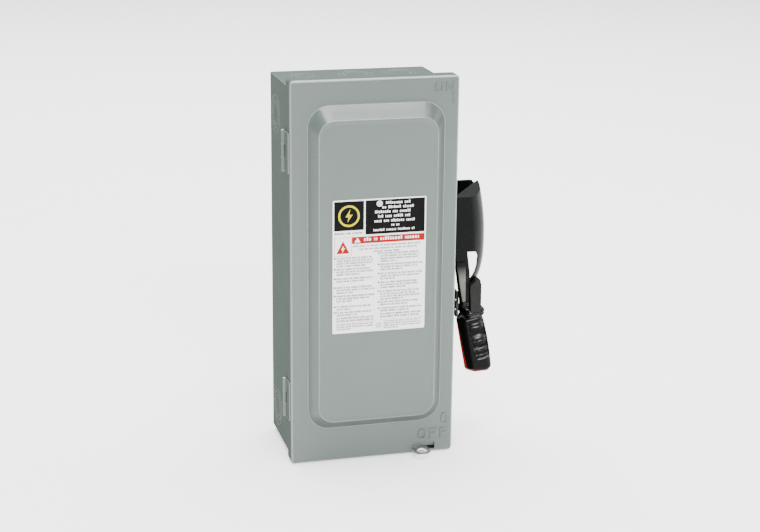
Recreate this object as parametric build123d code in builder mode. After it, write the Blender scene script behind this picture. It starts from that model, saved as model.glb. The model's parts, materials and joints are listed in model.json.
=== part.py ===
"""Heavy-duty fusible safety switch: a steel wall box with a hinged door and a side handle.

+X is right, +Y points into the wall and +Z is up; the front faces -Y. The origin is the
centre of the back face, which lies on the wall. The door is shut and the handle hangs
down in its OFF place. All sizes are in millimetres.
"""
import os
from math import asin, atan, cos, degrees, radians, sin

from build123d import *

os.makedirs("parts", exist_ok=True)

# ---------------------------------------------------------------- driving dimensions
SHEET = 1.5                          # steel of the box and the door
BOX_W, BOX_D, BOX_H = 154, 96, 364   # outside of the box
BOX_X, BOX_Z = BOX_W / 2, BOX_H / 2  # half width and half height
DOOR_L, DOOR_R = -78.8, 85.0         # door edges; the right one overhangs the box
DOOR_B, DOOR_T = -188, 190
DOOR_Y = -99                         # front of the door's flat rim
FLANGE = 16                          # depth of the door's folded edge
PANEL_RISE = 12                      # raised middle of the door
HINGE_X, HINGE_Y = -80.4, -79        # door hinge line
HINGE_ZS = (121.3, -124.2)           # middles of the two hinges
KNUCKLE, KNUCKLE_R = 12.9, 2.5       # length and radius of one hinge knuckle
KNUCKLE_GAP = 0.2                    # end play of a box knuckle, each side
LEAF_T = 1.2                         # steel of the hinge leaves
SLIT = 1                             # half width of the slit a box leaf passes through
WALL_HOLES = (100, 320)              # spacing of the mounting holes, X by Z
WALL_HOLE_R = 3.5
PIVOT_Y, PIVOT_Z = -54, 26           # handle shaft
SHAFT_R = 6
ROTOR_Y, ROTOR_Z = -34, 34           # hinge line of the switch blades
BLADE_OPEN = 63                      # blade angle from upright when the switch is off
BLADE_LEN = 58
POLES = (-46, -14, 18)               # middles of the three poles
PAN_Y = -12                          # front of the mounting pan
BASE_Y = -24                         # front of the moulded bases
FUSE_R, FUSE_CAP_R, FUSE_Y = 9.8, 10.3, -42
FUSE_B, FUSE_T, FUSE_CAP = -111, 16, 16
GRIP_SPLAY = 11                      # the grip leans outward from the box
GRIP_TOP = (112.8, PIVOT_Y, PIVOT_Z - 84)
SLOT_X, SLOT_Z = (44.2, 66.7), (-184.9, -178.2)   # latch slot in the door
TAB_Z = (-184.4, -182.2)             # latch tab, just under the box floor
PADLOCK = (51.6, -107.5, 5.0)        # padlock hole of the latch tab: x, y, radius
RUN = 0.05                           # radial clearance of a running fit
CUT = 1                              # how far a cutting shape stands clear of what it cuts
SCREW_SLOT = 0.4                     # half width of a screw head's slot
GROOVE_W, GROOVE = 0.9, 0.7          # width and depth of the knockout grooves


# ---------------------------------------------------------------- helpers
def block(x, y, z, mode=Mode.ADD):
    """A box between pairs of coordinates."""
    centre = ((x[0] + x[1]) / 2, (y[0] + y[1]) / 2, (z[0] + z[1]) / 2)
    with Locations(centre):
        Box(x[1] - x[0], y[1] - y[0], z[1] - z[0], mode=mode)


def drum_x(x, y, z, r, mode=Mode.ADD):
    """A cylinder along X between two x values."""
    with Locations(Location(((x[0] + x[1]) / 2, y, z), (0, 90, 0))):
        Cylinder(r, x[1] - x[0], mode=mode)


def drum_y(x, y, z, r, mode=Mode.ADD):
    """A cylinder along Y between two y values."""
    with Locations(Location((x, (y[0] + y[1]) / 2, z), (90, 0, 0))):
        Cylinder(r, y[1] - y[0], mode=mode)


def drum_z(x, y, z, r, mode=Mode.ADD):
    """A cylinder along Z between two z values."""
    with Locations((x, y, (z[0] + z[1]) / 2)):
        Cylinder(r, z[1] - z[0], mode=mode)


def prism_x(x, points, mode=Mode.ADD):
    """A Y-Z polygon pushed along X."""
    with BuildSketch(Plane.YZ.offset(x[0])) as outline:
        Polygon(*points, align=None)
    extrude(outline.sketch, amount=x[1] - x[0], mode=mode)


def prism_y(y, points, mode=Mode.ADD):
    """An X-Z polygon pushed along Y."""
    with BuildSketch(Plane.XZ.offset(-y[1])) as outline:
        Polygon(*points, align=None)
    extrude(outline.sketch, amount=y[1] - y[0], mode=mode)


def prism_z(z, points, mode=Mode.ADD):
    """An X-Y polygon pushed along Z."""
    with BuildSketch(Plane.XY.offset(z[0])) as outline:
        Polygon(*points, align=None)
    extrude(outline.sketch, amount=z[1] - z[0], mode=mode)


def pan_head(x, y, z, r, height):
    """A slotted round screw head on a surface at y, facing the front."""
    drum_y(x, (y - height, y), z, r)
    block((x - r, x + r), (y - height, y - height / 2), (z - SCREW_SLOT, z + SCREW_SLOT),
          Mode.SUBTRACT)


def ring_groove(plane, centre, r, depth):
    """A knockout's round groove, cut from a wall's face."""
    with BuildSketch(plane) as ring:
        with Locations(centre):
            Circle(r)
            Circle(r - GROOVE_W, mode=Mode.SUBTRACT)
    extrude(ring.sketch, amount=depth, mode=Mode.SUBTRACT)


def blade_plane(x, angle):
    """A plane across X through the blade hinge, its x axis at an angle from upright."""
    along = (0, -sin(radians(angle)), cos(radians(angle)))
    return Plane(origin=(x, ROTOR_Y, ROTOR_Z), x_dir=along, z_dir=(1, 0, 0))


def blade_slab(x, angle, u, v, mode=Mode.ADD):
    """A slab between two x values, u along the blade and v across it."""
    with BuildSketch(blade_plane(x[0], angle)) as outline:
        with Locations(((u[0] + u[1]) / 2, (v[0] + v[1]) / 2)):
            Rectangle(u[1] - u[0], v[1] - v[0])
    extrude(outline.sketch, amount=x[1] - x[0], mode=mode)


# ---------------------------------------------------------------- box
KNOCKOUT_Y = -29
SIDE_KNOCKOUT_Y = -26
SIDE_KNOCKOUT_ZS = (146, -154)
SIDE_KNOCKOUT_RS = (19.5, 15, 11)
TOP_KNOCKOUTS = ((-49, 13), (1, 16.5), (46, 16))     # x and largest radius
KNOCKOUT_STEP = 4.5                  # from a top knockout's outer ring to its inner one
CORNER_R = 2                         # rounding of the box's back corners
RIM = 8                              # width of the lips round the box's mouth
BUSHING_R, BUSHING_FLANGE_R = 9, 12
NUT_T, NUT_R = 3, 3.6                # nuts behind the wall; the flange is as thick
BASE_SCREW_R, BASE_HEAD_R, BASE_HEAD_T = 2.1, 4, 2.2
BASE_SLOT, BASE_SLOT_DEPTH = 0.5, 1  # half width and depth of the slot in their heads
BASE_PLATE = (54, 104, 9)            # handle base plate: depth, height and corner radius
BASE_T, BOSS_R, BOSS_END = 2.5, 15, 9
BASE_SCREWS = [(PIVOT_Y + dy, PIVOT_Z + dz) for dy in (-20, 20) for dz in (-42, 42)]

with BuildPart() as enclosure_box:
    block((-BOX_X, BOX_X), (-BOX_D, 0), (-BOX_Z, BOX_Z))
    fillet(enclosure_box.edges().filter_by(Axis.Z).group_by(Axis.Y)[-1], radius=CORNER_R)
    block((-BOX_X + SHEET, BOX_X - SHEET), (-BOX_D, -SHEET), (-BOX_Z + SHEET, BOX_Z - SHEET),
          Mode.SUBTRACT)
    for z in ((BOX_Z - RIM, BOX_Z - SHEET), (-BOX_Z + SHEET, -BOX_Z + RIM)):
        block((-BOX_X + SHEET, BOX_X - SHEET), (-BOX_D, -BOX_D + SHEET), z)
    block((-BOX_X + SHEET, -BOX_X + RIM), (-BOX_D, -BOX_D + SHEET), (-BOX_Z + RIM, BOX_Z - RIM))
    for x in (-WALL_HOLES[0] / 2, WALL_HOLES[0] / 2):
        for z in (-WALL_HOLES[1] / 2, WALL_HOLES[1] / 2):
            drum_y(x, (-SHEET - CUT, CUT), z, WALL_HOLE_R, Mode.SUBTRACT)
    for x, r in TOP_KNOCKOUTS:
        for ring_r in (r, r - KNOCKOUT_STEP):
            ring_groove(Plane.XY.offset(BOX_Z), (x, KNOCKOUT_Y), ring_r, -GROOVE)
            ring_groove(Plane.XY.offset(-BOX_Z), (x, KNOCKOUT_Y), ring_r, GROOVE)
    for z in SIDE_KNOCKOUT_ZS:
        for ring_r in SIDE_KNOCKOUT_RS:
            ring_groove(Plane.YZ.offset(-BOX_X), (SIDE_KNOCKOUT_Y, z), ring_r, GROOVE)
            ring_groove(Plane.YZ.offset(BOX_X), (SIDE_KNOCKOUT_Y, z), ring_r, -GROOVE)
    for z in HINGE_ZS:
        block((-BOX_X - CUT, -BOX_X + SHEET + CUT), (HINGE_Y - SLIT, HINGE_Y + SLIT),
              (z - KNUCKLE / 2, z + KNUCKLE / 2), Mode.SUBTRACT)
    drum_x((BOX_X - SHEET - CUT, BOX_X + CUT), PIVOT_Y, PIVOT_Z, BUSHING_R, Mode.SUBTRACT)
    for y, z in BASE_SCREWS:
        drum_x((BOX_X - SHEET - CUT, BOX_X + CUT), y, z, BASE_SCREW_R, Mode.SUBTRACT)
enclosure_box.part.label = "enclosure_box"
export_step(enclosure_box.part, "parts/enclosure_box.step")

PIN_R, PIN_HEAD_R = 1.3, 2.1
PIN_TAIL, PIN_HEAD_T = 0.6, 0.9      # pin beyond the knuckles, and its head at the top
BOX_LEAF = 14                        # length of a box leaf inside the wall
with BuildPart() as box_hinge_knuckles:
    for z in HINGE_ZS:
        span = (z - KNUCKLE / 2 + KNUCKLE_GAP, z + KNUCKLE / 2 - KNUCKLE_GAP)
        drum_z(HINGE_X, HINGE_Y, span, KNUCKLE_R)
        block((HINGE_X, -BOX_X + SHEET + LEAF_T), (HINGE_Y - LEAF_T / 2, HINGE_Y + LEAF_T / 2),
              span)
        block((-BOX_X + SHEET, -BOX_X + SHEET + LEAF_T), (HINGE_Y, HINGE_Y + BOX_LEAF), span)
        drum_z(HINGE_X, HINGE_Y, span, PIN_R + RUN, Mode.SUBTRACT)
box_hinge_knuckles.part.label = "box_hinge_knuckles"
export_step(box_hinge_knuckles.part, "parts/box_hinge_knuckles.step")

with BuildPart() as handle_base:
    with BuildSketch(Plane.YZ.offset(BOX_X)):
        with Locations((PIVOT_Y, PIVOT_Z)):
            RectangleRounded(*BASE_PLATE)
    extrude(amount=BASE_T)
    fillet(handle_base.faces().sort_by(Axis.X)[-1].edges(), radius=1)
    drum_x((BOX_X + BASE_T, BOX_X + BOSS_END), PIVOT_Y, PIVOT_Z, BOSS_R)
    fillet(handle_base.faces().sort_by(Axis.X)[-1].edges(), radius=1.5)
    drum_x((BOX_X - CUT, BOX_X + BOSS_END + CUT), PIVOT_Y, PIVOT_Z, BUSHING_R, Mode.SUBTRACT)
    for y, z in BASE_SCREWS:
        drum_x((BOX_X - CUT, BOX_X + BASE_T + CUT), y, z, BASE_SCREW_R, Mode.SUBTRACT)
handle_base.part.label = "handle_base"
export_step(handle_base.part, "parts/handle_base.step")

with BuildPart() as handle_base_screws:
    for y, z in BASE_SCREWS:
        head_end = BOX_X + BASE_T + BASE_HEAD_T
        drum_x((BOX_X - SHEET - NUT_T, BOX_X + BASE_T), y, z, BASE_SCREW_R)
        drum_x((BOX_X + BASE_T, head_end), y, z, BASE_HEAD_R)
        block((head_end - BASE_SLOT_DEPTH, head_end + CUT), (y - BASE_HEAD_R, y + BASE_HEAD_R),
              (z - BASE_SLOT, z + BASE_SLOT), Mode.SUBTRACT)
        drum_x((BOX_X - SHEET - NUT_T, BOX_X - SHEET), y, z, NUT_R)
handle_base_screws.part.label = "handle_base_screws"
export_step(handle_base_screws.part, "parts/handle_base_screws.step")

with BuildPart() as shaft_bushing:
    drum_x((BOX_X - SHEET - NUT_T, BOX_X + BOSS_END), PIVOT_Y, PIVOT_Z, BUSHING_R)
    drum_x((BOX_X - SHEET - NUT_T, BOX_X - SHEET), PIVOT_Y, PIVOT_Z, BUSHING_FLANGE_R)
    drum_x((BOX_X - SHEET - NUT_T - CUT, BOX_X + BOSS_END + CUT), PIVOT_Y, PIVOT_Z,
           SHAFT_R + RUN, Mode.SUBTRACT)
shaft_bushing.part.label = "shaft_bushing"
export_step(shaft_bushing.part, "parts/shaft_bushing.step")

# ---------------------------------------------------------------- inside the box
PAN_X, PAN_ZS, PAN_T = (-68, 72), (-152, 142), 2
PAN_SCREWS = [(x, z) for x in (-57, 60) for z in (-147, 137)]
with BuildPart() as mounting_pan:
    block(PAN_X, (PAN_Y, PAN_Y + PAN_T), PAN_ZS)
    for x in ((PAN_X[0], PAN_X[0] + PAN_T), (PAN_X[1] - PAN_T, PAN_X[1])):
        block(x, (PAN_Y + PAN_T, -SHEET), PAN_ZS)
mounting_pan.part.label = "mounting_pan"
export_step(mounting_pan.part, "parts/mounting_pan.step")

with BuildPart() as pan_screws:
    for x, z in PAN_SCREWS:
        pan_head(x, PAN_Y, z, 4, 2.6)
pan_screws.part.label = "pan_screws"
export_step(pan_screws.part, "parts/pan_screws.step")

BARRIERS, BARRIER_T = (-62, -30, 2, 34), 1.25        # middles and half thickness
BASE_X, SWITCH_BASE_Z, FUSE_BASE_Z = (-64, 36), (4, 132), (-142, 2)
with BuildPart() as switch_base:
    block(BASE_X, (BASE_Y, PAN_Y), SWITCH_BASE_Z)
    for x in BARRIERS:
        block((x - BARRIER_T, x + BARRIER_T), (-60, BASE_Y), (70, 130))
        block((x - BARRIER_T, x + BARRIER_T), (-40, BASE_Y), (4, 18))
switch_base.part.label = "switch_base"
export_step(switch_base.part, "parts/switch_base.step")

with BuildPart() as fuse_base:
    block(BASE_X, (BASE_Y, PAN_Y), FUSE_BASE_Z)
    for x in BARRIERS:
        block((x - BARRIER_T, x + BARRIER_T), (-48, BASE_Y), (-140, 0))
fuse_base.part.label = "fuse_base"
export_step(fuse_base.part, "parts/fuse_base.step")

with BuildPart() as base_screws:
    for x in (-57, 29):
        for z in (-137, -5, 22, 72):
            pan_head(x, BASE_Y, z, 2.6, 2)
base_screws.part.label = "base_screws"
export_step(base_screws.part, "parts/base_screws.step")

LUG_Y, LUG_W = (-42, -26), 7.5       # depth range and half width of a terminal block
WIRE_Y, WIRE_R = -32, 3.6            # wire hole
SET_SCREW_R, SET_SCREW_END, HEX_R = 3.2, -35.8, 1.9
SUNK = 0.4                           # set screws sit below the block's face


def lug_blocks(z):
    """Three aluminium terminal blocks, each with an upright wire hole and a screw hole."""
    middle = (z[0] + z[1]) / 2
    for pole in POLES:
        block((pole - LUG_W, pole + LUG_W), LUG_Y, z)
        drum_z(pole, WIRE_Y, (z[0] - CUT, z[1] + CUT), WIRE_R, Mode.SUBTRACT)
        drum_y(pole, (LUG_Y[0] - CUT, WIRE_Y), middle, SET_SCREW_R, Mode.SUBTRACT)


def lug_set_screws(z):
    """Three set screws with hexagon sockets in the terminal blocks."""
    middle = (z[0] + z[1]) / 2
    for pole in POLES:
        drum_y(pole, (LUG_Y[0] + SUNK, SET_SCREW_END), middle, SET_SCREW_R)
        with BuildSketch(Plane.XZ.offset(-LUG_Y[0] - SUNK)) as socket:
            with Locations((pole, middle)):
                RegularPolygon(HEX_R, 6)
        extrude(socket.sketch, amount=-3, mode=Mode.SUBTRACT)


LINE_LUG_Z, LOAD_LUG_Z = (108, 126), (-139, -121)
with BuildPart() as line_lugs:
    lug_blocks(LINE_LUG_Z)
line_lugs.part.label = "line_lugs"
export_step(line_lugs.part, "parts/line_lugs.step")

with BuildPart() as line_lug_screws:
    lug_set_screws(LINE_LUG_Z)
line_lug_screws.part.label = "line_lug_screws"
export_step(line_lug_screws.part, "parts/line_lug_screws.step")

with BuildPart() as load_lugs:
    lug_blocks(LOAD_LUG_Z)
load_lugs.part.label = "load_lugs"
export_step(load_lugs.part, "parts/load_lugs.step")

with BuildPart() as load_lug_screws:
    lug_set_screws(LOAD_LUG_Z)
load_lug_screws.part.label = "load_lug_screws"
export_step(load_lug_screws.part, "parts/load_lug_screws.step")

STRAP = 2                            # thickness of the copper straps on the bases
STRAP_W = 6                          # half width of the straps
JAW = 1                              # half thickness of the fixed contacts
with BuildPart() as line_jaws:
    for pole in POLES:
        block((pole - STRAP_W, pole + STRAP_W), (BASE_Y - STRAP, BASE_Y), (74, 126))
        prism_x((pole - JAW, pole + JAW), [(-26, 75), (-42, 79), (-42, 93), (-26, 97)])
line_jaws.part.label = "line_jaws"
export_step(line_jaws.part, "parts/line_jaws.step")

BOLT_R = 2.5                         # hinge bolt of a blade
POST = 8                             # half width of the posts that carry the blade hinges
with BuildPart() as blade_hinge_clips:
    for pole in POLES:
        block((pole - STRAP_W, pole + STRAP_W), (BASE_Y - STRAP, BASE_Y), (4, 50))
        block((pole - JAW, pole + JAW), (ROTOR_Y, BASE_Y - STRAP),
              (ROTOR_Z - POST, ROTOR_Z + POST))
        drum_x((pole - JAW, pole + JAW), ROTOR_Y, ROTOR_Z, POST)
        drum_x((pole - 2, pole + 2), ROTOR_Y, ROTOR_Z, BOLT_R + RUN, Mode.SUBTRACT)
blade_hinge_clips.part.label = "blade_hinge_clips"
export_step(blade_hinge_clips.part, "parts/blade_hinge_clips.step")

CLIP_T, CLIP_FOOT = 1.25, 5          # thickness of a fuse clip and half width of its foot


def fuse_clips(z, strap_z):
    """Spring clips round the fuse ends, open to the front, on copper straps."""
    for pole in POLES:
        drum_z(pole, FUSE_Y, z, FUSE_CAP_R + CLIP_T)
        block((pole - CLIP_FOOT, pole + CLIP_FOOT), (FUSE_Y + FUSE_CAP_R, BASE_Y - STRAP), z)
        block((pole - STRAP_W, pole + STRAP_W), (BASE_Y - STRAP, BASE_Y), strap_z)
        drum_z(pole, FUSE_Y, z, FUSE_CAP_R + RUN, Mode.SUBTRACT)
        block((pole - 8, pole + 8), (FUSE_Y - 14, FUSE_Y - 4), z, Mode.SUBTRACT)


with BuildPart() as upper_fuse_clips:
    fuse_clips((3, 13), (-14, 2))
    for pole in POLES:
        block((pole - STRAP_W, pole + STRAP_W), (BASE_Y - STRAP, BASE_Y), (2, 4))
        block((pole - CLIP_FOOT, pole + CLIP_FOOT), (BASE_Y - STRAP - 1.5, BASE_Y - STRAP),
              (-12, 13))
upper_fuse_clips.part.label = "upper_fuse_clips"
export_step(upper_fuse_clips.part, "parts/upper_fuse_clips.step")

with BuildPart() as lower_fuse_clips:
    fuse_clips((-108, -98), (-139, -92))
lower_fuse_clips.part.label = "lower_fuse_clips"
export_step(lower_fuse_clips.part, "parts/lower_fuse_clips.step")

with BuildPart() as fuse_tubes:
    for pole in POLES:
        drum_z(pole, FUSE_Y, (FUSE_B + FUSE_CAP, FUSE_T - FUSE_CAP), FUSE_R)
fuse_tubes.part.label = "fuse_tubes"
export_step(fuse_tubes.part, "parts/fuse_tubes.step")

with BuildPart() as fuse_caps:
    for pole in POLES:
        drum_z(pole, FUSE_Y, (FUSE_B, FUSE_B + FUSE_CAP), FUSE_CAP_R)
        drum_z(pole, FUSE_Y, (FUSE_T - FUSE_CAP, FUSE_T), FUSE_CAP_R)
fuse_caps.part.label = "fuse_caps"
export_step(fuse_caps.part, "parts/fuse_caps.step")

CHUTE_R = (46, 74)                   # arc chute, measured from the blade hinge
with BuildPart() as arc_chutes:
    for pole in POLES:
        for x in (pole - 10.5, pole + 9):
            with BuildSketch(Plane.YZ.offset(x)):
                with Locations((ROTOR_Y, ROTOR_Z)):
                    Circle(CHUTE_R[1])
                    Circle(CHUTE_R[0], mode=Mode.SUBTRACT)
                    Polygon((0, 0), (3, 100), (-70, 74), align=None, mode=Mode.INTERSECT)
            extrude(amount=1.5)
            block((x, x + 1.5), (ROTOR_Y, BASE_Y), (84, 104))
arc_chutes.part.label = "arc_chutes"
export_step(arc_chutes.part, "parts/arc_chutes.step")

with BuildPart() as arc_plates:
    for pole in POLES:
        for angle in (4, 12, 20, 28, 36):
            blade_slab((pole - 9, pole + 9), angle, (60.5, 73), (-0.6, 0.6))
arc_plates.part.label = "arc_plates"
export_step(arc_plates.part, "parts/arc_plates.step")

with BuildPart() as line_shield:
    block((BASE_X[0], BASE_X[1]), (-61.5, -60), (106, 138))
    for pole in POLES:
        drum_y(pole, (-62, -59), sum(LINE_LUG_Z) / 2, 3, Mode.SUBTRACT)
line_shield.part.label = "line_shield"
export_step(line_shield.part, "parts/line_shield.step")

BEARING_X = (-58, -54.5)             # rotor bearing on the left, the bracket is on the right
STUB_R, JOURNAL_R = 4, 5             # rotor ends, left and right
with BuildPart() as rotor_bearing:
    block(BEARING_X, (ROTOR_Y, BASE_Y), (ROTOR_Z - POST, ROTOR_Z + POST))
    drum_x(BEARING_X, ROTOR_Y, ROTOR_Z, POST)
    drum_x((BEARING_X[0] - CUT, BEARING_X[1] + CUT), ROTOR_Y, ROTOR_Z, STUB_R + RUN, Mode.SUBTRACT)
rotor_bearing.part.label = "rotor_bearing"
export_step(rotor_bearing.part, "parts/rotor_bearing.step")

BRACKET_X, BRACKET_Z = (42, 44), (0, 70)
BRACKET_FRONT, BRACKET_FOOT = -70, 70
BRACKET_T = BRACKET_X[1] - BRACKET_X[0]
SHAFT_L_END = BRACKET_X[0] - 1
with BuildPart() as mechanism_bracket:
    block(BRACKET_X, (BRACKET_FRONT, PAN_Y), BRACKET_Z)
    block((BRACKET_X[1], BRACKET_FOOT), (PAN_Y - BRACKET_T, PAN_Y), BRACKET_Z)
    fillet(mechanism_bracket.edges().filter_by(Axis.X).group_by(Axis.Y)[0], radius=8)
    drum_x((SHAFT_L_END, BRACKET_X[1] + CUT), PIVOT_Y, PIVOT_Z, SHAFT_R + RUN, Mode.SUBTRACT)
    drum_x((SHAFT_L_END, BRACKET_X[1] + CUT), ROTOR_Y, ROTOR_Z, JOURNAL_R + RUN, Mode.SUBTRACT)
mechanism_bracket.part.label = "mechanism_bracket"
export_step(mechanism_bracket.part, "parts/mechanism_bracket.step")

with BuildPart() as bracket_screws:
    for x, z in ((62, 10), (62, 60)):
        pan_head(x, PAN_Y - BRACKET_T, z, 3.6, 2.4)
bracket_screws.part.label = "bracket_screws"
export_step(bracket_screws.part, "parts/bracket_screws.step")

GROUND_X, GROUND_Z, GROUND_XS = (44, 68), (-132, -118), (50, 62)
GROUND_WIRE_Y, GROUND_SCREW_R = -18, 2.6
with BuildPart() as ground_bar:
    block(GROUND_X, (BASE_Y, PAN_Y), GROUND_Z)
    for x in GROUND_XS:
        drum_z(x, GROUND_WIRE_Y, (GROUND_Z[0] - CUT, GROUND_Z[1] + CUT), 2.8, Mode.SUBTRACT)
        drum_y(x, (BASE_Y - CUT, GROUND_WIRE_Y), sum(GROUND_Z) / 2, GROUND_SCREW_R,
               Mode.SUBTRACT)
ground_bar.part.label = "ground_bar"
export_step(ground_bar.part, "parts/ground_bar.step")

with BuildPart() as ground_screws:
    for x in GROUND_XS:
        drum_y(x, (BASE_Y, BASE_Y + 3.2), sum(GROUND_Z) / 2, GROUND_SCREW_R)
        pan_head(x, BASE_Y, sum(GROUND_Z) / 2, 4, 2.4)
ground_screws.part.label = "ground_screws"
export_step(ground_screws.part, "parts/ground_screws.step")

# ---------------------------------------------------------------- door latch on the box
GUIDE_X, GUIDE_Y, GUIDE_Z, GUIDE_T = (38, 70), (-80, -52), (-186.2, -184.8), 1.5
with BuildPart() as latch_guide:
    block(GUIDE_X, GUIDE_Y, GUIDE_Z)
    for x in ((GUIDE_X[0], GUIDE_X[0] + GUIDE_T), (GUIDE_X[1] - GUIDE_T, GUIDE_X[1])):
        block(x, GUIDE_Y, (GUIDE_Z[0], -BOX_Z))
latch_guide.part.label = "latch_guide"
export_step(latch_guide.part, "parts/latch_guide.step")

COIL_PITCH, COIL_LEN, COIL_R, COIL_START = 0.9, 4.5, 0.85, (40, -66, -183.3)
WIRE_SPRING_R = 0.18
with BuildPart() as latch_spring:
    with BuildLine():
        coil = Helix(pitch=COIL_PITCH, height=COIL_LEN, radius=COIL_R, center=COIL_START,
                     direction=(1, 0, 0))
    with BuildSketch(Plane(origin=coil @ 0, z_dir=coil % 0)):
        Circle(WIRE_SPRING_R)
    sweep()
latch_spring.part.label = "latch_spring"
export_step(latch_spring.part, "parts/latch_spring.step")

TAB_NOSE = ((43.2, -110), (50, -118.4), (58.2, -110))         # the rounded tip in front
TAB_LEFT = ((45.2, -56), (45.2, -99), TAB_NOSE[0])
TAB_RIGHT = (TAB_NOSE[2], (59.2, -100), (59.2, -80), (61, -78), (61, -56), TAB_LEFT[0])
with BuildPart() as latch_tab:
    with BuildSketch(Plane.XY.offset(TAB_Z[0])):
        with BuildLine():
            Polyline(*TAB_LEFT)
            ThreePointArc(*TAB_NOSE)
            Polyline(*TAB_RIGHT)
        make_face()
    extrude(amount=TAB_Z[1] - TAB_Z[0])
    drum_z(PADLOCK[0], PADLOCK[1], (TAB_Z[0] - CUT, TAB_Z[1] + CUT), PADLOCK[2], Mode.SUBTRACT)
latch_tab.part.label = "latch_tab"
export_step(latch_tab.part, "parts/latch_tab.step")

# ---------------------------------------------------------------- door
DOOR_CORNER, DOOR_EDGE = 4, 3        # rounding of the door's corners and front edges
PANEL_FOOT = (132.6, 318.7, 21)      # raised panel where it leaves the rim: width, height, corner
PANEL_TOP = (115, 296.5, 15)         # raised panel on its front
FOOT_AT, TOP_AT = (4.5, 6.35), (3.7, 5.25)           # middles of the two, x and z
PANEL_ROUND = 5                      # bend at the panel's front edge


def door_form(inset):
    """The door as a solid, or with an inset the hollow behind its sheet."""
    front = DOOR_Y + inset
    with BuildPart() as form:
        block((DOOR_L + inset, DOOR_R - inset), (front, DOOR_Y + FLANGE),
              (DOOR_B + inset, DOOR_T - inset))
        fillet(form.edges().filter_by(Axis.Y), radius=DOOR_CORNER - inset)
        fillet(form.faces().sort_by(Axis.Y)[0].edges(), radius=DOOR_EDGE - inset)
        foot = (PANEL_FOOT[0] - 2 * inset, PANEL_FOOT[1] - 2 * inset, PANEL_FOOT[2] - inset)
        top = (PANEL_TOP[0] - inset, PANEL_TOP[1] - inset, PANEL_TOP[2] - inset / 2)
        with BuildSketch(Plane.XZ.offset(-front)):
            with Locations(FOOT_AT):
                RectangleRounded(*foot)
        with BuildSketch(Plane.XZ.offset(-front + PANEL_RISE)):
            with Locations(TOP_AT):
                RectangleRounded(*top)
        loft()
        fillet(form.faces().sort_by(Axis.Y)[0].edges(), radius=PANEL_ROUND)
    return form.part


LETTER_Y = (DOOR_Y - 0.7, DOOR_Y + 0.2)
STROKE = 1.5                         # width of the raised letters' strokes
DIAGONAL = 1.9                       # the same, level across a slanting stroke
OVAL = 0.45                          # corner radius of a round letter, as a share of its width


def letter_o(x, z, width, height):
    """A raised ring letter with its lower left corner at x, z."""
    with BuildSketch(Plane.XZ.offset(-LETTER_Y[1])) as ring:
        with Locations((x + width / 2, z + height / 2)):
            RectangleRounded(width, height, width * OVAL)
            inner = width - 2 * STROKE
            RectangleRounded(inner, height - 2 * STROKE, inner * OVAL, mode=Mode.SUBTRACT)
    extrude(ring.sketch, amount=LETTER_Y[1] - LETTER_Y[0])


def letter_f(x, z, width, height):
    """A raised letter F with its lower left corner at x, z."""
    block((x, x + STROKE), LETTER_Y, (z, z + height))
    block((x, x + width), LETTER_Y, (z + height - STROKE, z + height))
    block((x, x + width * 0.8), LETTER_Y, (z + height * 0.45, z + height * 0.45 + STROKE))


def letter_n(x, z, width, height):
    """A raised letter N with its lower left corner at x, z."""
    block((x, x + STROKE), LETTER_Y, (z, z + height))
    block((x + width - STROKE, x + width), LETTER_Y, (z, z + height))
    prism_y(LETTER_Y, [(x, z + height), (x + DIAGONAL, z + height), (x + width, z),
                       (x + width - DIAGONAL, z)])


ON_Z, ON_H, OFF_Z, OFF_H = 174.3, 9.8, -173.8, 10.8   # feet and heights of the two words
with BuildPart() as door_panel:
    add(door_form(0))
    add(door_form(SHEET), mode=Mode.SUBTRACT)
    block(SLOT_X, (DOOR_Y - CUT, DOOR_Y + SHEET + CUT), SLOT_Z, Mode.SUBTRACT)
    letter_o(60.6, ON_Z, 8, ON_H)
    letter_n(71.4, ON_Z, 8, ON_H)
    block((78.2, 78.2 + STROKE), LETTER_Y, (164, 173))
    letter_o(49.4, OFF_Z, 8, OFF_H)
    letter_f(61, OFF_Z, 7.7, OFF_H)
    letter_f(72, OFF_Z, 7.7, OFF_H)
    letter_o(72.8, -159.6, 7, 12)
door_panel.part.label = "door_panel"
export_step(door_panel.part, "parts/door_panel.step")

LEAF_Y = (DOOR_Y + 3, DOOR_Y + 14.5)
with BuildPart() as door_hinge_leaves:
    for z in HINGE_ZS:
        full = (z - 1.5 * KNUCKLE, z + 1.5 * KNUCKLE)
        block((DOOR_L - LEAF_T, DOOR_L), LEAF_Y, full)
        for side in (-1, 1):
            low, high = sorted((z + side * KNUCKLE / 2, z + side * KNUCKLE * 1.5))
            block((DOOR_L - LEAF_T, DOOR_L), (LEAF_Y[1], HINGE_Y), (low, high))
            drum_z(HINGE_X, HINGE_Y, (low, high), KNUCKLE_R)
            drum_z(HINGE_X, HINGE_Y, (low, high), PIN_R, Mode.SUBTRACT)
door_hinge_leaves.part.label = "door_hinge_leaves"
export_step(door_hinge_leaves.part, "parts/door_hinge_leaves.step")

with BuildPart() as hinge_pins:
    for z in HINGE_ZS:
        end = 1.5 * KNUCKLE
        drum_z(HINGE_X, HINGE_Y, (z - end - PIN_TAIL, z + end + PIN_TAIL), PIN_R)
        drum_z(HINGE_X, HINGE_Y, (z + end, z + end + PIN_HEAD_T), PIN_HEAD_R)
hinge_pins.part.label = "hinge_pins"
export_step(hinge_pins.part, "parts/hinge_pins.step")

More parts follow.
